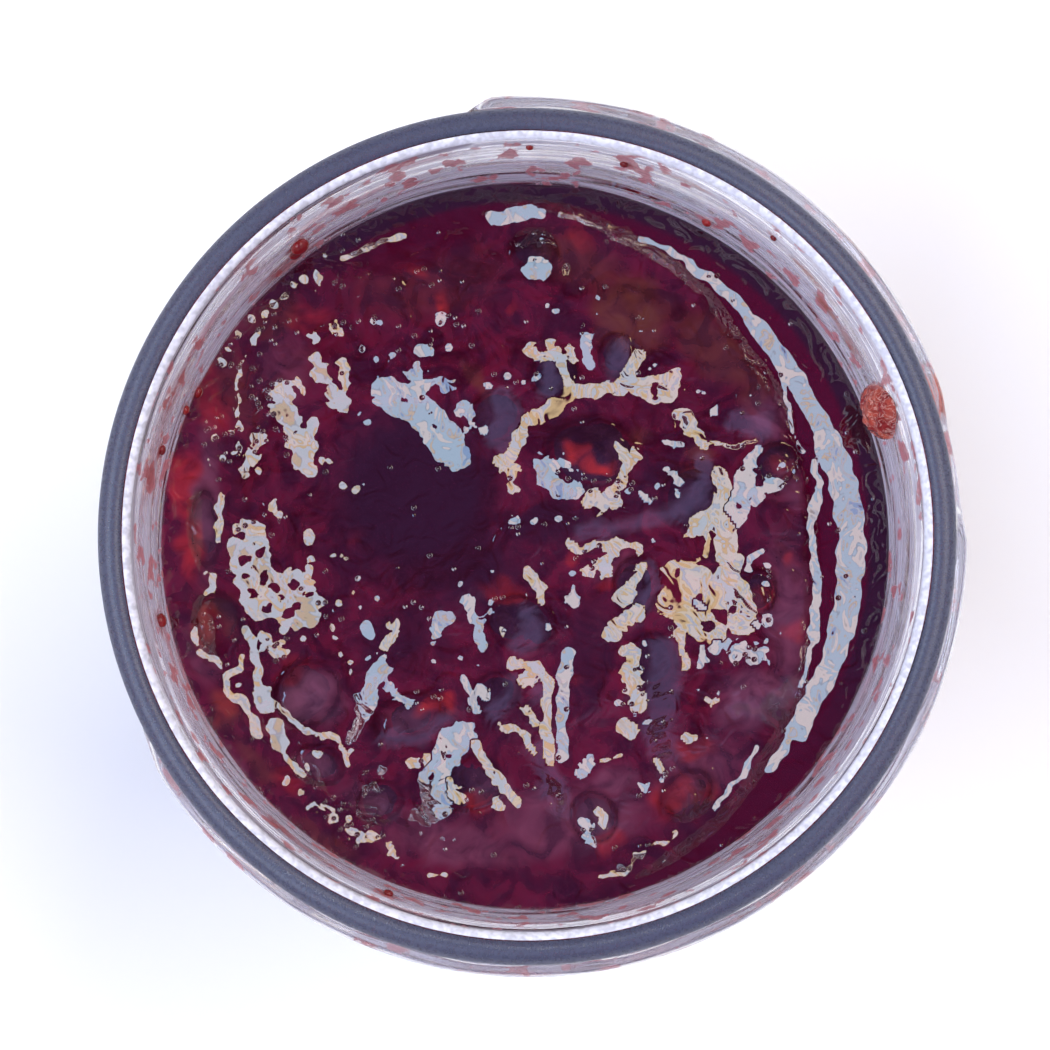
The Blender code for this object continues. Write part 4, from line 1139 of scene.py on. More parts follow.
@dataclass(frozen=True)
class SauceOnGlass:
    """The sauce where it wets the glass: berries and pulp in red syrup, without a gloss of its own."""

    syrup: Colour = (0.070, 0.0015, 0.0045)
    berries: Colour = (0.022, 0.0008, 0.003)
    pulp: Colour = (0.15, 0.007, 0.009)
    berry_size: float = 10.5 * MM
    berry_span: Point = (0.22, 0.62)
    cell_smoothness: float = 0.15
    roughness: float = 0.6

    def material(self, groups: NodeGroups) -> bpy.types.Material:
        """Makes the material.

        Args:
            groups: The shared node groups.

        Returns:
            The material.
        """
        made, tree, shader = new_material("cranberry_sauce_on_glass")
        pulp = add_node(tree, "Group", node_tree=groups.pulp)
        cells = {"Scale": 1.0 / self.berry_size, "Smoothness": self.cell_smoothness}
        cells["Vector"] = object_place(tree)
        cells = add_node(tree, "TexVoronoi", cells, feature="SMOOTH_F1")
        berry = fade(tree, cells.outputs["Distance"], self.berry_span, (1.0, 0.0))
        colour = mixed(tree, pulp.outputs["Cloud"], self.syrup, self.pulp)
        colour = mixed(tree, berry, colour, self.berries)
        feed(tree, shader, {"Base Color": colour, "Roughness": self.roughness, "Specular IOR Level": 0.0})
        return made


@dataclass(frozen=True)
class GlassFinish:
    """Clear jar glass with the faintest blue."""

    tint: Colour = (0.97, 0.98, 1.0)
    roughness: float = 0.0
    ior: float = 1.5

    def material(self) -> bpy.types.Material:
        """Makes the material, which lets lamps through for shadows."""
        made, tree, shader = new_material("clear_jar_glass")
        feed(tree, shader, {"Base Color": self.tint, "Roughness": self.roughness, "IOR": self.ior})
        feed(tree, shader, {"Transmission Weight": 1.0})
        shadow = add_node(tree, "LightPath").outputs["Is Shadow Ray"]
        clear = add_node(tree, "BsdfTransparent", {"Color": self.tint}).outputs[0]
        mix = add_node(tree, "MixShader", {0: shadow, 1: shader.outputs[0], 2: clear})
        feed(tree, tree.nodes["Material Output"], {"Surface": mix.outputs[0]})
        return made


@dataclass(frozen=True)
class NeckFilmAndSheenFinish:
    """The dried, hazy film and thin smears of sauce on the neck's inner wall, with painted reflection and a
    painted highlight. Scales are per metre.
    """

    # Partly a dried hazy film, partly painted reflection of the bright glass wall.
    haze_and_painted_sheen: Colour = (0.62, 0.58, 0.68)
    red: Colour = (0.34, 0.016, 0.014)
    brown: Colour = (0.34, 0.075, 0.03)
    pink: Colour = (0.55, 0.13, 0.15)
    # Painted highlight along the lip's inner edge.
    painted_lip_highlight: Colour = (0.72, 0.72, 0.80)
    haze_and_sheen_share: float = 0.75
    ring_scale: Scales = (70.0, 70.0, 1500.0)
    ring_detail: float = 2.0
    ring_span: Point = (0.40, 0.68)
    fine_scale: float = 1500.0
    fine_detail: float = 1.0
    fine_span: Point = (0.35, 0.62)
    fine_share: float = 0.4
    crumb_share: float = 0.8
    crumb_shift: Scales = (0.5, 0.2, 0.1)
    crumb_scale: Scales = (420.0, 420.0, 260.0)
    crumb_detail: float = 3.0
    crumb_span: Point = (0.575, 0.62)
    roughness: float = 0.5
    specular: float = 0.1

    def material(self) -> bpy.types.Material:
        """Makes the material, which reads the smears' masks on the mesh."""
        made, tree, shader = new_material("neck_film_painted_sheen")
        place = object_place(tree)
        drawn_out = add_node(tree, "Mapping", {"Vector": place, "Scale": self.ring_scale}).outputs[0]
        rings = fade(tree, noisy(tree, drawn_out, 1.0, self.ring_detail), self.ring_span)
        fine = fade(tree, noisy(tree, place, self.fine_scale, self.fine_detail), self.fine_span)
        spots = {"Vector": place, "Location": self.crumb_shift, "Scale": self.crumb_scale}
        crumbs = noisy(tree, add_node(tree, "Mapping", spots).outputs[0], 1.0, self.crumb_detail)
        crumbs = maths(tree, "MULTIPLY", fade(tree, crumbs, self.crumb_span), self.crumb_share)
        # On this film the grain mask carries the painted highlight along the lip's inner edge.
        tones = ((MAUVE, self.pink), (BROWN, self.brown), (RED, self.red), (GRAIN, self.painted_lip_highlight))
        masks = [(crumbs, self.pink)] + [(mask_of(tree, tint.value), tone) for tint, tone in tones]
        grainy = maths(tree, "MULTIPLY_ADD", fine, self.fine_share, 1.0 - self.fine_share)
        # Painted reflection: the streaky pale film laid over the wall.
        colour, alpha = self.haze_and_painted_sheen, maths(tree, "MULTIPLY", rings, self.haze_and_sheen_share)
        for mask, tone in masks:
            colour = mixed(tree, mask, colour, tone)
            alpha = maths(tree, "MAXIMUM", alpha, maths(tree, "MULTIPLY", mask, grainy))
        feed(tree, shader, {"Base Color": colour, "Alpha": alpha, "Roughness": self.roughness})
        feed(tree, shader, {"Specular IOR Level": self.specular})
        return made


@dataclass(frozen=True)
class LipGrainPaintedDarkFinish:
    """The fine grey grain on top of the glass lip, on a dark sheet that is painted shade for the lip's dark
    look. Scales are per metre.
    """

    # Painted shade: the lip's dark look from above, as a dark slate colour.
    colour: Colour = (0.062, 0.068, 0.115)
    share: float = 0.86
    thinnest: float = 0.78
    grain_scale: float = 2600.0
    grain_detail: float = 1.0
    grain_roughness: float = 0.7
    grain_span: Point = (0.40, 0.60)
    roughness: float = 0.4

    def material(self) -> bpy.types.Material:
        """Makes the material."""
        made, tree, shader = new_material("lip_grain_painted_dark")
        grain = noisy(
            tree, object_place(tree), self.grain_scale, self.grain_detail, roughness=self.grain_roughness
        )
        alpha = maths(tree, "MULTIPLY", fade(tree, grain, self.grain_span, (self.thinnest, 1.0)), self.share)
        feed(tree, shader, {"Base Color": self.colour, "Alpha": alpha, "Roughness": self.roughness})
        return made


@dataclass(frozen=True)
class FloorFinish:
    """The plain pale floor."""

    colour: Colour = (0.88, 0.87, 0.85)
    roughness: float = 0.7

    def material(self) -> bpy.types.Material:
        """Makes the material."""
        made, tree, shader = new_material("pale_floor")
        feed(tree, shader, {"Base Color": self.colour, "Roughness": self.roughness})
        return made


def new_object(name: str, bm: bmesh.types.BMesh, finish: bpy.types.Material) -> bpy.types.Object:
    """Turns a bmesh, which it frees, into an object of the scene with one finish."""
    mesh = bpy.data.meshes.new(name)
    bm.to_mesh(mesh)
    bm.free()
    made = bpy.data.objects.new(name, mesh)
    mesh.materials.append(finish)
    bpy.context.scene.collection.objects.link(made)
    return made


def add_piece(name: str, bm: bmesh.types.BMesh, finish: bpy.types.Material) -> bpy.types.Object:
    """Turns a bmesh into a smooth piece that rides on the jar's body.

    Args:
        name: The piece's name.
        bm: Its shape. It is freed.
        finish: Its material.

    Returns:
        The piece.
    """
    piece = new_object(name, bm, finish)
    piece.data.shade_smooth()
    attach(piece, BODY)
    log.info("%s: %d faces", name, len(piece.data.polygons))
    return piece


def set_mask(piece: bpy.types.Object, name: str, shares: Iterable[float]) -> None:
    """Stores one share for each point of a piece.

    Args:
        piece: The piece.
        name: The attribute's name.
        shares: One number for each point.
    """
    layer = piece.data.attributes.new(name, "FLOAT", "POINT")
    layer.data.foreach_set("value", np.asarray(shares, dtype=np.float32))


def vector_rows(layer: Sequence) -> np.ndarray:
    """Reads a layer of vectors as one row for each point."""
    values = np.empty(3 * len(layer), dtype=np.float32)
    layer.foreach_get("vector", values)
    return values.reshape(-1, 3).astype(float)


def cover(piece: bpy.types.Object, surface: SauceSurface, film: SyrupFilm) -> None:
    """Gives a piece the sauce's tints and the film of syrup over them.

    Args:
        piece: The piece, in its place.
        surface: The sauce's surface, which knows the tints.
        film: The film.
    """
    at = vector_rows(piece.data.attributes["position"].data)
    for tint, shares in surface.lay(at[:, 0], at[:, 1])[1].items():
        set_mask(piece, tint.value, shares)
    film.shine(piece)
    film.settle(piece)


def arc(centre: Point, radius: float, start_deg: float, end_deg: float, steps: int) -> list[Point]:
    """Gives points on a round stretch of a profile.

    Args:
        centre: The round's middle, as a radius and a height.
        radius: The round's radius.
        start_deg: The angle of the first point.
        end_deg: The angle of the last.
        steps: How many stretches there are.

    Returns:
        Points as radii and heights.
    """
    angles = np.radians(np.linspace(start_deg, end_deg, steps + 1))
    return [(centre[0] + radius * math.cos(a), centre[1] + radius * math.sin(a)) for a in angles]


def s_curve(start: Point, end: Point, steps: int) -> list[Point]:
    """Gives points on a smooth step between two radii, upright at both ends.

    Args:
        start: The first point, as a radius and a height.
        end: The last point.
        steps: How many stretches there are.

    Returns:
        Points as radii and heights.
    """
    points = []
    for t in np.linspace(0.0, 1.0, steps + 1):
        ease = t * t * (3.0 - 2.0 * t)
        points.append((start[0] + (end[0] - start[0]) * ease, start[1] + (end[1] - start[1]) * t))
    return points


def dome(start: Point, end: Point, steps: int) -> list[Point]:
    """Gives points on a smooth rise between two radii, level at both ends."""
    return [(r, z) for z, r in s_curve((start[1], start[0]), (end[1], end[0]), steps)]


def straight(start: Point, end: Point, steps: int) -> list[Point]:
    """Gives points on a straight stretch of a profile, without its two ends."""
    shares = np.linspace(0.0, 1.0, steps + 1)[1:-1]
    return [(start[0] + (end[0] - start[0]) * t, start[1] + (end[1] - start[1]) * t) for t in shares]


def turned(profile: Sequence[Point], steps: int) -> bmesh.types.BMesh:
    """Spins a profile round the jar's axis into a closed solid.

    Args:
        profile: Points as radii and heights, from the axis back to the axis, or a closed ring of points.
        steps: How many steps a turn has.

    Returns:
        The solid, with its faces pointing out.
    """
    bm = bmesh.new()
    points = [bm.verts.new((r, 0.0, z)) for r, z in profile]
    edges = [bm.edges.new(pair) for pair in zip(points, points[1:])]
    bmesh.ops.spin(
        bm, geom=points + edges, cent=(0, 0, 0), axis=(0, 0, 1), angle=math.tau, steps=steps, use_merge=True
    )
    bmesh.ops.remove_doubles(bm, verts=bm.verts, dist=TINY)
    bmesh.ops.recalc_face_normals(bm, faces=bm.faces)
    return bm


@dataclass
class GlassJar:
    """The jar: lip, thread, shoulder, body, heel and the punt in its foot."""

    height: float = 98.0 * MM
    lip_radius: float = 39.0 * MM
    bore_radius: float = 36.0 * MM
    body_radius: float = 42.0 * MM
    body_wall: float = 2.8 * MM
    base: float = 5.5 * MM
    finish_height: float = 17.0 * MM
    shoulder_drop: float = 8.0 * MM
    bore_depth: float = 21.5 * MM
    flare_drop: float = 8.5 * MM
    lip_outer_round: float = 1.4 * MM
    lip_inner_round: float = 0.8 * MM
    heel_round: float = 6.5 * MM
    inner_heel_round: float = 6.0 * MM
    punt_rise: float = 2.5 * MM
    punt_flat_radius: float = 24.0 * MM
    foot_inner_radius: float = 30.5 * MM
    floor_dome_rise: float = 2.0 * MM
    floor_dome_radius: float = 18.0 * MM
    thread_start: float = 100.0
    thread_sweep: float = 263.0
    thread_top_depth: float = 4.0 * MM
    thread_pitch: float = 6.0 * MM
    thread_height: float = 1.9 * MM
    thread_half_width: float = 1.6 * MM
    thread_fullness: float = 2.6
    blunt_start: float = 5.0
    run_out: float = 16.0
    seam_at: float = 91.0
    seam_half: float = 10.0
    seam_share_left: float = 0.72
    steps: int = 384

    def inner_profile(self, gap: float) -> list[Point]:
        """Gives the hollow's outline from the bore's lower end to the middle of the floor.

        Args:
            gap: How far clear of the glass the outline is. Below 0 it reaches into the glass.

        Returns:
            Points as radii and heights.
        """
        body = self.body_radius - self.body_wall - gap
        floor = self.base + gap
        heel = self.inner_heel_round - gap
        flare_top = self.height - self.bore_depth
        profile = s_curve((self.bore_radius - gap, flare_top), (body, flare_top - self.flare_drop), 10)
        profile += straight(profile[-1], (body, floor + heel), 6)
        profile += arc((body - heel, floor + heel), heel, 0, -90, 8)
        profile += dome((body - heel, floor), (self.floor_dome_radius, floor + self.floor_dome_rise), 6)[1:]
        profile.append((0.0, floor + self.floor_dome_rise))
        return profile

    def profile(self) -> list[Point]:
        """Gives the glass's section: under the foot, up the outside, over the lip and down the inside."""
        shoulder_top = self.height - self.finish_height
        neck_top = self.height - self.lip_outer_round
        points = [(0.0, self.punt_rise)]
        points += dome((self.punt_flat_radius, self.punt_rise), (self.foot_inner_radius, 0.0), 8)
        heel = self.heel_round
        points += arc((self.body_radius - heel, heel), heel, -90, 0, 10)
        shoulder_foot = (self.body_radius, shoulder_top - self.shoulder_drop)
        points += straight(points[-1], shoulder_foot, 6)
        points += s_curve(shoulder_foot, (self.lip_radius, shoulder_top), 12)
        points += straight(points[-1], (self.lip_radius, neck_top), 46)
        points += arc((self.lip_radius - self.lip_outer_round, neck_top), self.lip_outer_round, 0, 90, 8)
        inner_middle = (self.bore_radius + self.lip_inner_round, self.height - self.lip_inner_round)
        points += arc(inner_middle, self.lip_inner_round, 90, 180, 6)
        points += straight(points[-1], (self.bore_radius, self.height - self.bore_depth), 10)
        return points + self.inner_profile(0.0)

    def thread_out(self, bearing: float, z: float) -> float:
        """Gives how far the thread stands out of the neck at one place.

        Args:
            bearing: The place's bearing in degrees.
            z: Its height.

        Returns:
            A distance in metres.
        """
        turned_by = (self.thread_start - bearing) % 360.0
        if turned_by > self.thread_sweep:
            return 0.0
        share = min(1.0, turned_by / self.blunt_start, (self.thread_sweep - turned_by) / self.run_out)
        off_seam = min(1.0, max(0.0, 2.0 * (abs(turned_by - self.seam_at) / self.seam_half - 0.5)))
        share *= self.seam_share_left + (1.0 - self.seam_share_left) * off_seam
        middle = self.height - self.thread_top_depth - self.thread_pitch * turned_by / 360.0
        away = min(1.0, abs(z - middle) / self.thread_half_width)
        return self.thread_height * share * (1.0 - away**self.thread_fullness)

    def build(self, finish: GlassFinish) -> bpy.types.Object:
        """Builds the glass in place of the frame's jar.

        Args:
            finish: The glass.

        Returns:
            The piece.
        """
        bm = turned(self.profile(), self.steps)
        neck_foot = self.height - self.finish_height
        for vert in bm.verts:
            radius = math.hypot(vert.co.x, vert.co.y)
            if radius > self.lip_radius - TINY and vert.co.z > neck_foot:
                out = self.thread_out(math.degrees(math.atan2(vert.co.y, vert.co.x)), vert.co.z)
                vert.co.x *= 1.0 + out / radius
                vert.co.y *= 1.0 + out / radius
        piece = add_piece("jar_glass", bm, finish.material())
        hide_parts("glass_jar")
        return piece


@dataclass
class SauceBody:
    """The sauce as one solid that reaches just into the glass."""

    surface: SauceSurface
    film: SyrupFilm
    jar: GlassJar
    spacing: float = 0.24 * MM
    reach: float = 0.15 * MM

    def build(self, groups: NodeGroups) -> bpy.types.Object:
        """Builds the sauce in place of the frame's.

        Args:
            groups: The shared node groups.

        Returns:
            The piece.
        """
        edge = self.jar.bore_radius + self.reach
        bm = bmesh.new()
        cells = int(2 * edge / self.spacing)
        bmesh.ops.create_grid(bm, x_segments=cells, y_segments=cells, size=edge)
        outside = [f for f in bm.faces if max(math.hypot(v.co.x, v.co.y) for v in f.verts) > edge]
        bmesh.ops.delete(bm, geom=outside, context="FACES")
        rim = [e for e in bm.edges if e.is_boundary]
        for vert in {v for e in rim for v in e.verts}:
            scale = edge / math.hypot(vert.co.x, vert.co.y)
            vert.co.x *= scale
            vert.co.y *= scale
        x = np.array([v.co.x for v in bm.verts])
        y = np.array([v.co.y for v in bm.verts])
        for vert, height in zip(bm.verts, self.surface.lay(x, y)[0]):
            vert.co.z = height
        self.add_side(bm, rim)
        bmesh.ops.recalc_face_normals(bm, faces=bm.faces)
        piece = add_piece("sauce_wet", bm, WetFinish().material(groups))
        piece.data.materials.append(SauceOnGlass().material(groups))
        cover(piece, self.surface, self.film)
        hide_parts("sauce")
        return piece

    def add_side(self, bm: bmesh.types.BMesh, rim: list[bmesh.types.BMEdge]) -> None:
        """Carries the surface's edge down the glass and closes it over the jar's floor.

        Args:
            bm: The surface.
            rim: The edges round it.
        """
        top_faces = set(bm.faces)
        for radius, z in self.jar.inner_profile(-self.reach)[:-1:2]:
            made = bmesh.ops.extrude_edge_only(bm, edges=rim)["geom"]
            rim = [g for g in made if isinstance(g, bmesh.types.BMEdge) and g.is_boundary]
            for vert in {v for e in rim for v in e.verts}:
                scale = radius / math.hypot(vert.co.x, vert.co.y)
                vert.co = (vert.co.x * scale, vert.co.y * scale, z)
        bmesh.ops.contextual_create(bm, geom=rim)
        for face in bm.faces:
            face.material_index = 0 if face in top_faces else 1


@dataclass
class SoftBerries:
    """The soft berries that stand out of the sauce."""

    surface: SauceSurface
    film: SyrupFilm
    steps: int = 84
    rings: int = 44
    uneven: float = 0.05
    uneven_size: float = 3.5 * MM
    wrinkle: float = 0.05 * MM
    wrinkle_size: float = 0.9 * MM

    def shape(self, berry: Berry, index: int) -> bmesh.types.BMesh:
        """Shapes one berry's skin.

        Args:
            berry: The berry.
            index: Its number, which makes it uneven in its own way.

        Returns:
            The skin as a closed shape in its place.
        """
        bm = bmesh.new()
        bmesh.ops.create_uvsphere(bm, u_segments=self.steps, v_segments=self.rings, radius=1.0)
        shift = Vector((7.3 * index, 0.0, 0.0))
        for vert in bm.verts:
            way = vert.co.normalized()
            skin = Vector((way.x * berry.length, way.y * berry.width, 0.0)) * MM / 2
            skin.z = way.z * berry.half_height
            swell = self.uneven * noise.noise(skin / self.uneven_size + shift)
            crease = abs(noise.noise(skin / self.wrinkle_size + shift))
            vert.co = skin * (1.0 + swell) - way * self.wrinkle * crease
        place = Matrix.Translation((berry.x * MM, berry.y * MM, self.surface.berry_middle(berry)))
        turn = Matrix.Rotation(math.radians(berry.turn), 4, "Z")
        bmesh.ops.transform(bm, matrix=place @ turn, verts=bm.verts)
        return bm

    def build(self, groups: NodeGroups) -> None:
        """Builds each berry in place of the frame's.

        Args:
            groups: The shared node groups.
        """
        finish = WetFinish(
            "berry_skin_wet", deep=(0.013, 0.0035, 0.0105), lighter=(0.030, 0.008, 0.020),
            threads_share=0.25, bare_beads=0.0, seed=2.0,
        ).material(groups)
        for index, berry in enumerate(BERRIES):
            piece = add_piece(f"soft_berry_{index + 1:02d}", self.shape(berry, index), finish)
            cover(piece, self.surface, self.film)
            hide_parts(f"berry_{index + 1:02d}")


@dataclass
class PulpClot:
    """The clot of pulp that sticks to the inside of the neck."""

    jar: GlassJar
    bearing: float = 19.5
    depth: float = 6.9 * MM
    half_width: float = 2.6 * MM
    half_height: float = 4.7 * MM
    wall_side: float = 0.45 * MM
    stands_out: float = 1.7 * MM
    fuller_below: float = 0.42
    into_wall: float = 0.1 * MM
    uneven: float = 0.45 * MM
    uneven_size: float = 1.3 * MM
    small_lump_share: float = 0.5
    small_lump_size: float = 0.4
    steps: int = 96
    rings: int = 72

    def build(self, groups: NodeGroups) -> None:
        """Builds the clot in place of the frame's.

        Args:
            groups: The shared node groups.
        """
        bm = bmesh.new()
        bmesh.ops.create_uvsphere(bm, u_segments=self.steps, v_segments=self.rings, radius=1.0)
        for vert in bm.verts:
            way = vert.co.normalized()
            fuller = 1.0 - self.fuller_below * way.z
            across = way.y * self.half_width * fuller
            outward = way.x * (self.wall_side if way.x > 0 else self.stands_out * fuller)
            if way.x < 0:
                at = way * self.half_height / self.uneven_size
                lumps = noise.noise(at) + self.small_lump_share * noise.noise(at / self.small_lump_size)
                outward += self.uneven * way.x * lumps
            radius = self.jar.bore_radius - self.wall_side + outward + self.into_wall
            bearing = math.radians(self.bearing) + across / radius
            height = self.jar.height - self.depth + way.z * self.half_height
            vert.co = (radius * math.cos(bearing), radius * math.sin(bearing), height)
        bmesh.ops.recalc_face_normals(bm, faces=bm.faces)
        finish = WetFinish(
            "berry_pulp_wet", deep=(0.26, 0.012, 0.012), lighter=(0.60, 0.11, 0.06),
            threads=(0.75, 0.42, 0.34), threads_share=0.7, bare_beads=0.5, seed=4.0, roughness=0.15, ior=1.5,
        )
        piece = add_piece("pulp_clot_wet", bm, finish.material(groups))
        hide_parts("pulp_clot")


def on_wall(
    tint: Tint, bearing: float, depth: float, half_across: float, half_down: float, strength: float
) -> Blot:
    """Makes a smear on the neck's unrolled wall, with its bearing in degrees and the rest in millimetres."""
    across, down = SMEAR_WIDENED * half_across, SMEAR_LENGTHENED * half_down
    return Blot(tint, math.radians(bearing) * BORE_MM, -depth, across, down, 0.0, strength)


SMEARS: tuple[Blot, ...] = (
    on_wall(RED, 127.9, 11.8, 1.0, 1.6, 1.0),
    on_wall(RED, 130.3, 16.8, 2.4, 1.5, 0.7),
    on_wall(BROWN, 131.5, 15.6, 3.0, 1.2, 0.5),
    on_wall(RED, 155.5, 19.4, 0.9, 1.0, 0.9),
    on_wall(RED, 159.0, 16.8, 0.7, 1.0, 0.9),
    on_wall(RED, 166.5, 11.0, 0.7, 0.9, 0.9),
    on_wall(RED, 157.0, 8.0, 3.0, 1.6, 0.4),
    on_wall(BROWN, 163.0, 7.9, 5.5, 2.0, 0.45),
    on_wall(RED, 170.5, 7.8, 2.2, 1.8, 0.4),
    on_wall(BROWN, 65.3, 3.8, 2.2, 0.5, 0.7),
    on_wall(BROWN, 42.3, 5.8, 2.4, 0.6, 0.8),
    on_wall(BROWN, 36.8, 9.3, 2.4, 0.6, 0.8),
    on_wall(BROWN, 31.3, 9.5, 2.2, 1.2, 0.7),
    on_wall(MAUVE, 60.5, 15.0, 1.6, 0.8, 0.7),
    on_wall(RED, 75.4, 5.0, 0.5, 0.5, 0.8),
    on_wall(RED, 89.7, 3.3, 0.4, 0.4, 0.8),
    on_wall(RED, 50.3, 4.3, 0.5, 0.4, 0.8),
    on_wall(RED, -167.3, 11.8, 1.0, 1.4, 0.8),
    on_wall(MAUVE, -163.0, 14.0, 4.0, 0.8, 0.6),
    on_wall(MAUVE, -156.0, 17.6, 4.4, 0.7, 0.7),
    on_wall(RED, -130.1, 10.8, 2.2, 1.3, 0.8),
    on_wall(RED, -125.2, 10.2, 2.2, 1.0, 0.7),
    on_wall(RED, -119.7, 9.5, 2.0, 0.8, 0.7),
    on_wall(RED, -111.2, 8.8, 1.2, 0.8, 0.8),
    on_wall(MAUVE, -107.5, 2.8, 2.6, 0.8, 0.6),
    on_wall(MAUVE, -91.1, 6.8, 3.4, 0.7, 0.6),
    on_wall(MAUVE, -73.5, 1.2, 2.6, 0.6, 0.5),
    on_wall(MAUVE, -20.7, 15.8, 3.4, 1.0, 0.4),
    on_wall(MAUVE, 116.1, 8.5, 3.6, 0.8, 0.6),
    on_wall(MAUVE, 106.1, 3.8, 3.0, 0.7, 0.5),
    on_wall(MAUVE, 135.7, 1.2, 2.6, 0.7, 0.5),
    on_wall(MAUVE, 147.5, 7.3, 3.8, 1.0, 0.6),
    on_wall(MAUVE, 122.9, 7.5, 2.8, 0.8, 0.6),
)


@dataclass(frozen=True)
class Drop:
    """A drop of sauce on the neck's wall: its bearing in degrees, its depth below the lip and its radius."""

    bearing: float
    depth: float
    radius: float


@dataclass
class WallDrops:
    """The drops of sauce that hang on the neck's inner wall."""

    jar: GlassJar
    drops: tuple[Drop, ...] = (
        Drop(127.9, 11.6, 1.0), Drop(129.0, 13.6, 0.7), Drop(155.5, 19.0, 0.6), Drop(159.0, 16.8, 0.5),
        Drop(166.5, 11.0, 0.5), Drop(75.4, 5.0, 0.42), Drop(89.7, 3.3, 0.36), Drop(60.5, 15.0, 0.5),
        Drop(-167.3, 11.8, 0.7), Drop(-111.2, 8.8, 0.5), Drop(50.3, 4.3, 0.34),
    )
    flatness: float = 0.7
    hang: float = 1.2
    sunk: float = 0.4
    steps: int = 24
    rings: int = 16

    def build(self, groups: NodeGroups) -> None:
        """Builds the drops as one piece.

        Args:
            groups: The shared node groups.
        """
        bm = bmesh.new()
        for drop in self.drops:
            size = drop.radius * MM
            shape = Matrix.Diagonal((self.flatness * size, size, self.hang * size, 1.0))
            out = self.jar.bore_radius - self.sunk * size
            place = Matrix.Translation((out, 0.0, self.jar.height - drop.depth * MM))
            turn = Matrix.Rotation(math.radians(drop.bearing), 4, "Z")
            bmesh.ops.create_uvsphere(
                bm, u_segments=self.steps, v_segments=self.rings, radius=1.0, matrix=turn @ place @ shape
            )
        finish = WetFinish(
            "sauce_drop_wet", deep=(0.14, 0.003, 0.006), lighter=(0.26, 0.012, 0.012), seed=6.0, ior=1.5
        )
        add_piece("wall_drops", bm, finish.material(groups))


@dataclass
class NeckFilm:
    """The thin film on the neck's inner wall, with painted reflection and a painted highlight, and the hazy
    grey sheet on its lip, painted dark.
    """

    jar: GlassJar
    inner_gap: float = 0.06 * MM
    outer_gap: float = 0.01 * MM
    foot: float = 77.0 * MM
    lip_inset: float = 0.75 * MM
    lip_side_deg: float = 15.0
    wall_round_end: float = 100.0
    painted_lip_highlight_band: Point = (0.05 * MM, 0.3 * MM)
    rows: int = 44
    steps: int = 540
    waver: PlaneNoise = field(default_factory=lambda: PlaneNoise(21, 1.6 * MM))

    def build_wall(self) -> None:
        """Builds the film on the wall, with a mask for each kind of smear and one for the painted highlight
        along the lip's inner edge.
        """
        inside, outside = self.jar.bore_radius - self.inner_gap, self.jar.bore_radius - self.outer_gap
        top = self.jar.height - self.jar.lip_inner_round
        corner = (self.jar.bore_radius + self.jar.lip_inner_round, top)
        rising = [(inside, z) for z in np.linspace(self.foot, top, self.rows)]
        rising += arc(corner, self.jar.lip_inner_round + self.inner_gap, 180, self.wall_round_end, 5)[1:]
        under = arc(corner, self.jar.lip_inner_round + self.outer_gap, self.wall_round_end, 180, 5)
        bm = turned(rising + under + [(outside, self.foot), rising[0]], self.steps)
        piece = add_piece("neck_film_painted_sheen", bm, NeckFilmAndSheenFinish().material())
        at = vector_rows(piece.data.attributes["position"].data)
        along = np.arctan2(at[:, 1], at[:, 0]) * self.jar.bore_radius
        up = at[:, 2] - self.jar.height
        waver = self.waver.at(along, up) * MM
        for tint in (RED, BROWN, MAUVE):
            shares = [smear.share(along + waver, up + waver / 2) for smear in SMEARS if smear.tint is tint]
            set_mask(piece, tint.value, np.max(shares, axis=0))
        # Painted highlight: a white band along the lip's inner edge, stored in the grain mask.
        set_mask(piece, GRAIN.value, ramp(at[:, 2], top + self.painted_lip_highlight_band[0], top + self.painted_lip_highlight_band[1]))

    def build_lip(self) -> None:
        """Builds the hazy grey sheet on the lip, which paints in its dark look."""
        corner = self.jar.lip_outer_round
        middle = (self.jar.lip_radius - corner, self.jar.height - corner)
        over, under = (
            arc(middle, corner + gap, self.lip_side_deg, 90, 8)
            + [(self.jar.bore_radius + self.lip_inset, self.jar.height + gap)]
            for gap in (self.inner_gap, self.outer_gap)
        )
        bm = turned(over + under[::-1] + over[:1], self.jar.steps)
        add_piece("lip_grain_painted_dark", bm, LipGrainPaintedDarkFinish().material())


@dataclass(frozen=True)
class Strip:
    """One strip of a bright window in the sky, by its angles from straight up in degrees."""

    start: float
    end: float
    colour: Colour


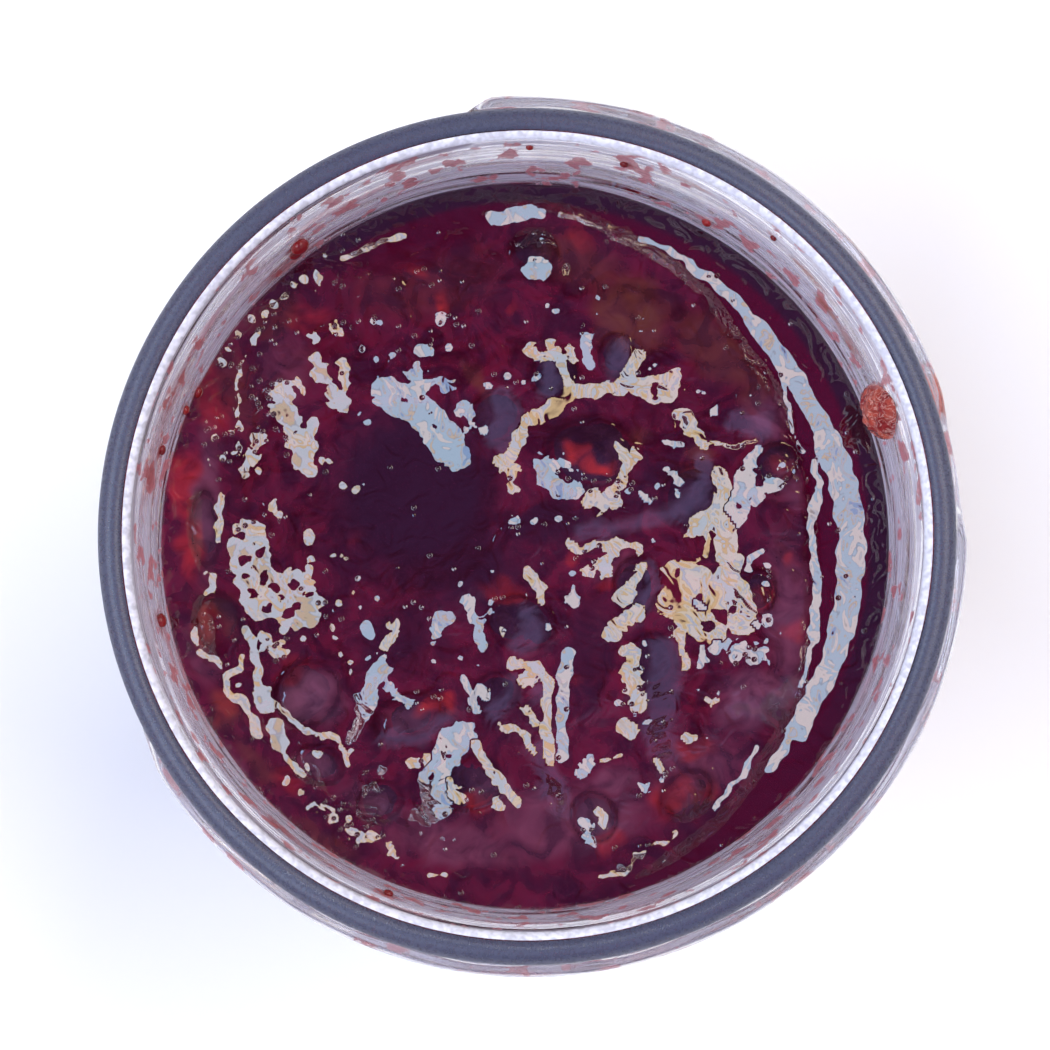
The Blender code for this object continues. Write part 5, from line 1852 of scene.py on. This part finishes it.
@dataclass(frozen=True)
class SkyWindow:
    """A bright window in the sky that the film of syrup mirrors. Degrees."""

    bearing: float
    half_width: float
    radiance: float
    strips: tuple[Strip, ...]
    feather: float = 1.0
    gap_share: float = 0.7

    def over(self, tree: bpy.types.NodeTree, bearing, from_zenith, behind) -> bpy.types.NodeSocket:
        """Lays the window over what is behind it.

        Args:
            tree: The world's tree.
            bearing: The socket of the bearing in degrees.
            from_zenith: The socket of the angle from straight up in degrees.
            behind: The socket of the colour behind.

        Returns:
            The socket of the colour with the window in it.
        """
        away = maths(tree, "WRAP", maths(tree, "SUBTRACT", bearing, self.bearing), 180.0, -180.0)
        edges = (self.half_width - self.feather, self.half_width + self.feather)
        across = fade(tree, maths(tree, "ABSOLUTE", away), edges, (1.0, 0.0))
        top, foot = self.strips[0].start, self.strips[-1].end
        middle = maths(tree, "ABSOLUTE", maths(tree, "SUBTRACT", from_zenith, (top + foot) / 2))
        half = (foot - top) / 2
        inside = fade(tree, middle, (half - self.feather, half + self.feather), (1.0, 0.0))
        share = maths(tree, "MULTIPLY", across, inside)
        bands = add_node(tree, "ValToRGB", {0: fade(tree, from_zenith, (top, foot))})
        bands.color_ramp.interpolation = "CONSTANT"
        stops = bands.color_ramp.elements
        stops.remove(stops[1])
        stops[0].color = (*self.strips[0].colour, 1.0)
        for strip, following in zip(self.strips, self.strips[1:]):
            gap = stops.new((strip.end - top) / (foot - top))
            gap.color = (*(value * self.gap_share for value in strip.colour), 1.0)
            stops.new((following.start - top) / (foot - top)).color = (*following.colour, 1.0)
        bright = {0: bands.outputs[0], "Scale": self.radiance}
        bright = add_node(tree, "VectorMath", bright, operation="SCALE").outputs[0]
        return mixed(tree, share, behind, bright)


@dataclass
class Studio:
    """The floor, the sky with its windows, and the camera."""

    camera_at: Vector = field(default_factory=lambda: Vector((-1.9, -11.7, 298.0)) * MM)
    looks_at: Vector = field(default_factory=lambda: Vector((-0.27, 0.54, 98.0)) * MM)
    focal_px: float = 2217.0
    frame_px: float = 1050.0
    sensor_mm: float = 36.0
    clip_start: float = 10.0 * MM
    floor_half: float = 3.0
    above: tuple[tuple[float, Colour], ...] = (
        (0.0, (0.15, 0.08, 0.28)),
        (8.0, (0.12, 0.05, 0.19)),
        (17.0, (0.04, 0.01, 0.03)),
        (52.0, (0.03, 0.03, 0.08)),
        (70.0, (0.10, 0.08, 0.16)),
        (76.0, (0.97, 0.96, 0.98)),
        (90.0, (1.0, 1.0, 1.0)),
    )
    windows: tuple[SkyWindow, ...] = (
        SkyWindow(195.0, 56.0, 7.0, (
            Strip(22.0, 26.0, (0.36, 0.58, 0.95)), Strip(26.3, 29.0, (0.62, 0.76, 0.98)),
            Strip(29.3, 30.2, (0.86, 0.74, 0.62)), Strip(30.5, 36.0, (0.58, 0.80, 1.05)),
            Strip(36.6, 43.0, (0.96, 0.92, 0.98)), Strip(43.6, 50.0, (0.72, 0.76, 0.9)),
        )),
        SkyWindow(26.0, 45.0, 7.0, (
            Strip(23.0, 26.4, (0.95, 0.72, 0.40)), Strip(26.7, 29.0, (1.02, 0.90, 0.72)),
            Strip(29.3, 31.0, (0.68, 0.78, 0.98)), Strip(31.3, 34.6, (0.98, 0.92, 0.92)),
            Strip(34.9, 36.3, (0.96, 0.72, 0.44)),
            Strip(36.6, 43.0, (0.76, 0.86, 1.02)), Strip(44.0, 50.0, (0.80, 0.68, 0.52)),
        )),
        SkyWindow(303.0, 32.0, 1.1, (Strip(18.0, 48.0, (0.56, 0.44, 1.0)),), 13.0),
    )

    def add_camera(self) -> None:
        """Adds the camera that looks straight down into the jar."""
        camera = bpy.data.cameras.new("camera")
        camera.sensor_width = self.sensor_mm
        camera.lens = self.focal_px / self.frame_px * self.sensor_mm
        camera.clip_start = self.clip_start
        shown = bpy.data.objects.new("camera", camera)
        ahead = (self.looks_at - self.camera_at).normalized()
        right = ahead.cross(Vector((0.0, 1.0, 0.0))).normalized()
        up = right.cross(ahead)
        turn = Matrix((right, up, -ahead)).transposed().to_4x4()
        shown.matrix_world = Matrix.Translation(self.camera_at) @ turn
        bpy.context.scene.collection.objects.link(shown)
        bpy.context.scene.camera = shown

    def add_sky(self) -> None:
        """Gives the world a dim sky with bright windows, and a pale horizon."""
        world = bpy.data.worlds.new("sky_with_windows")
        world.use_nodes = True
        tree = world.node_tree
        place = add_node(tree, "SeparateXYZ", {0: add_node(tree, "TexCoord").outputs["Generated"]})
        lean = maths(tree, "DEGREES", maths(tree, "ARCCOSINE", place.outputs["Z"]))
        bearing = maths(tree, "DEGREES", maths(tree, "ARCTAN2", place.outputs["Y"], place.outputs["X"]))
        shade = add_node(tree, "ValToRGB", {0: fade(tree, lean, (0.0, 90.0))})
        stops = shade.color_ramp.elements
        stops[0].color, stops[1].color = (*self.above[0][1], 1.0), (*self.above[-1][1], 1.0)
        for angle, colour in self.above[1:-1]:
            stops.new(angle / 90.0).color = (*colour, 1.0)
        colour = shade.outputs[0]
        for window in self.windows:
            colour = window.over(tree, bearing, lean, colour)
        feed(tree, tree.nodes["Background"], {"Color": colour})
        bpy.context.scene.world = world

    def add_floor(self) -> None:
        """Adds the pale floor."""
        bm = bmesh.new()
        bmesh.ops.create_grid(bm, x_segments=1, y_segments=1, size=self.floor_half)
        floor = new_object("floor", bm, FloorFinish().material())

    def build(self) -> None:
        """Builds all of it."""
        self.add_camera()
        self.add_sky()
        self.add_floor()
        bpy.context.scene.view_settings.view_transform = "Standard"


def main() -> None:
    """Builds the jar's looks piece by piece around the frame."""
    logging.basicConfig(level=logging.INFO, format="%(name)s: %(message)s")
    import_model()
    studio = Studio()
    studio.build()
    groups = NodeGroups(PulpGrain().group(), FilmRelief().group())
    surface, jar, film = SauceSurface(), GlassJar(), SyrupFilm(studio.camera_at)
    jar.build(GlassFinish())
    SauceBody(surface, film, jar).build(groups)
    SoftBerries(surface, film).build(groups)
    PulpClot(jar).build(groups)
    WallDrops(jar).build(groups)
    NeckFilm(jar).build_wall()
    NeckFilm(jar).build_lip()


if __name__ == "__main__":
    main()
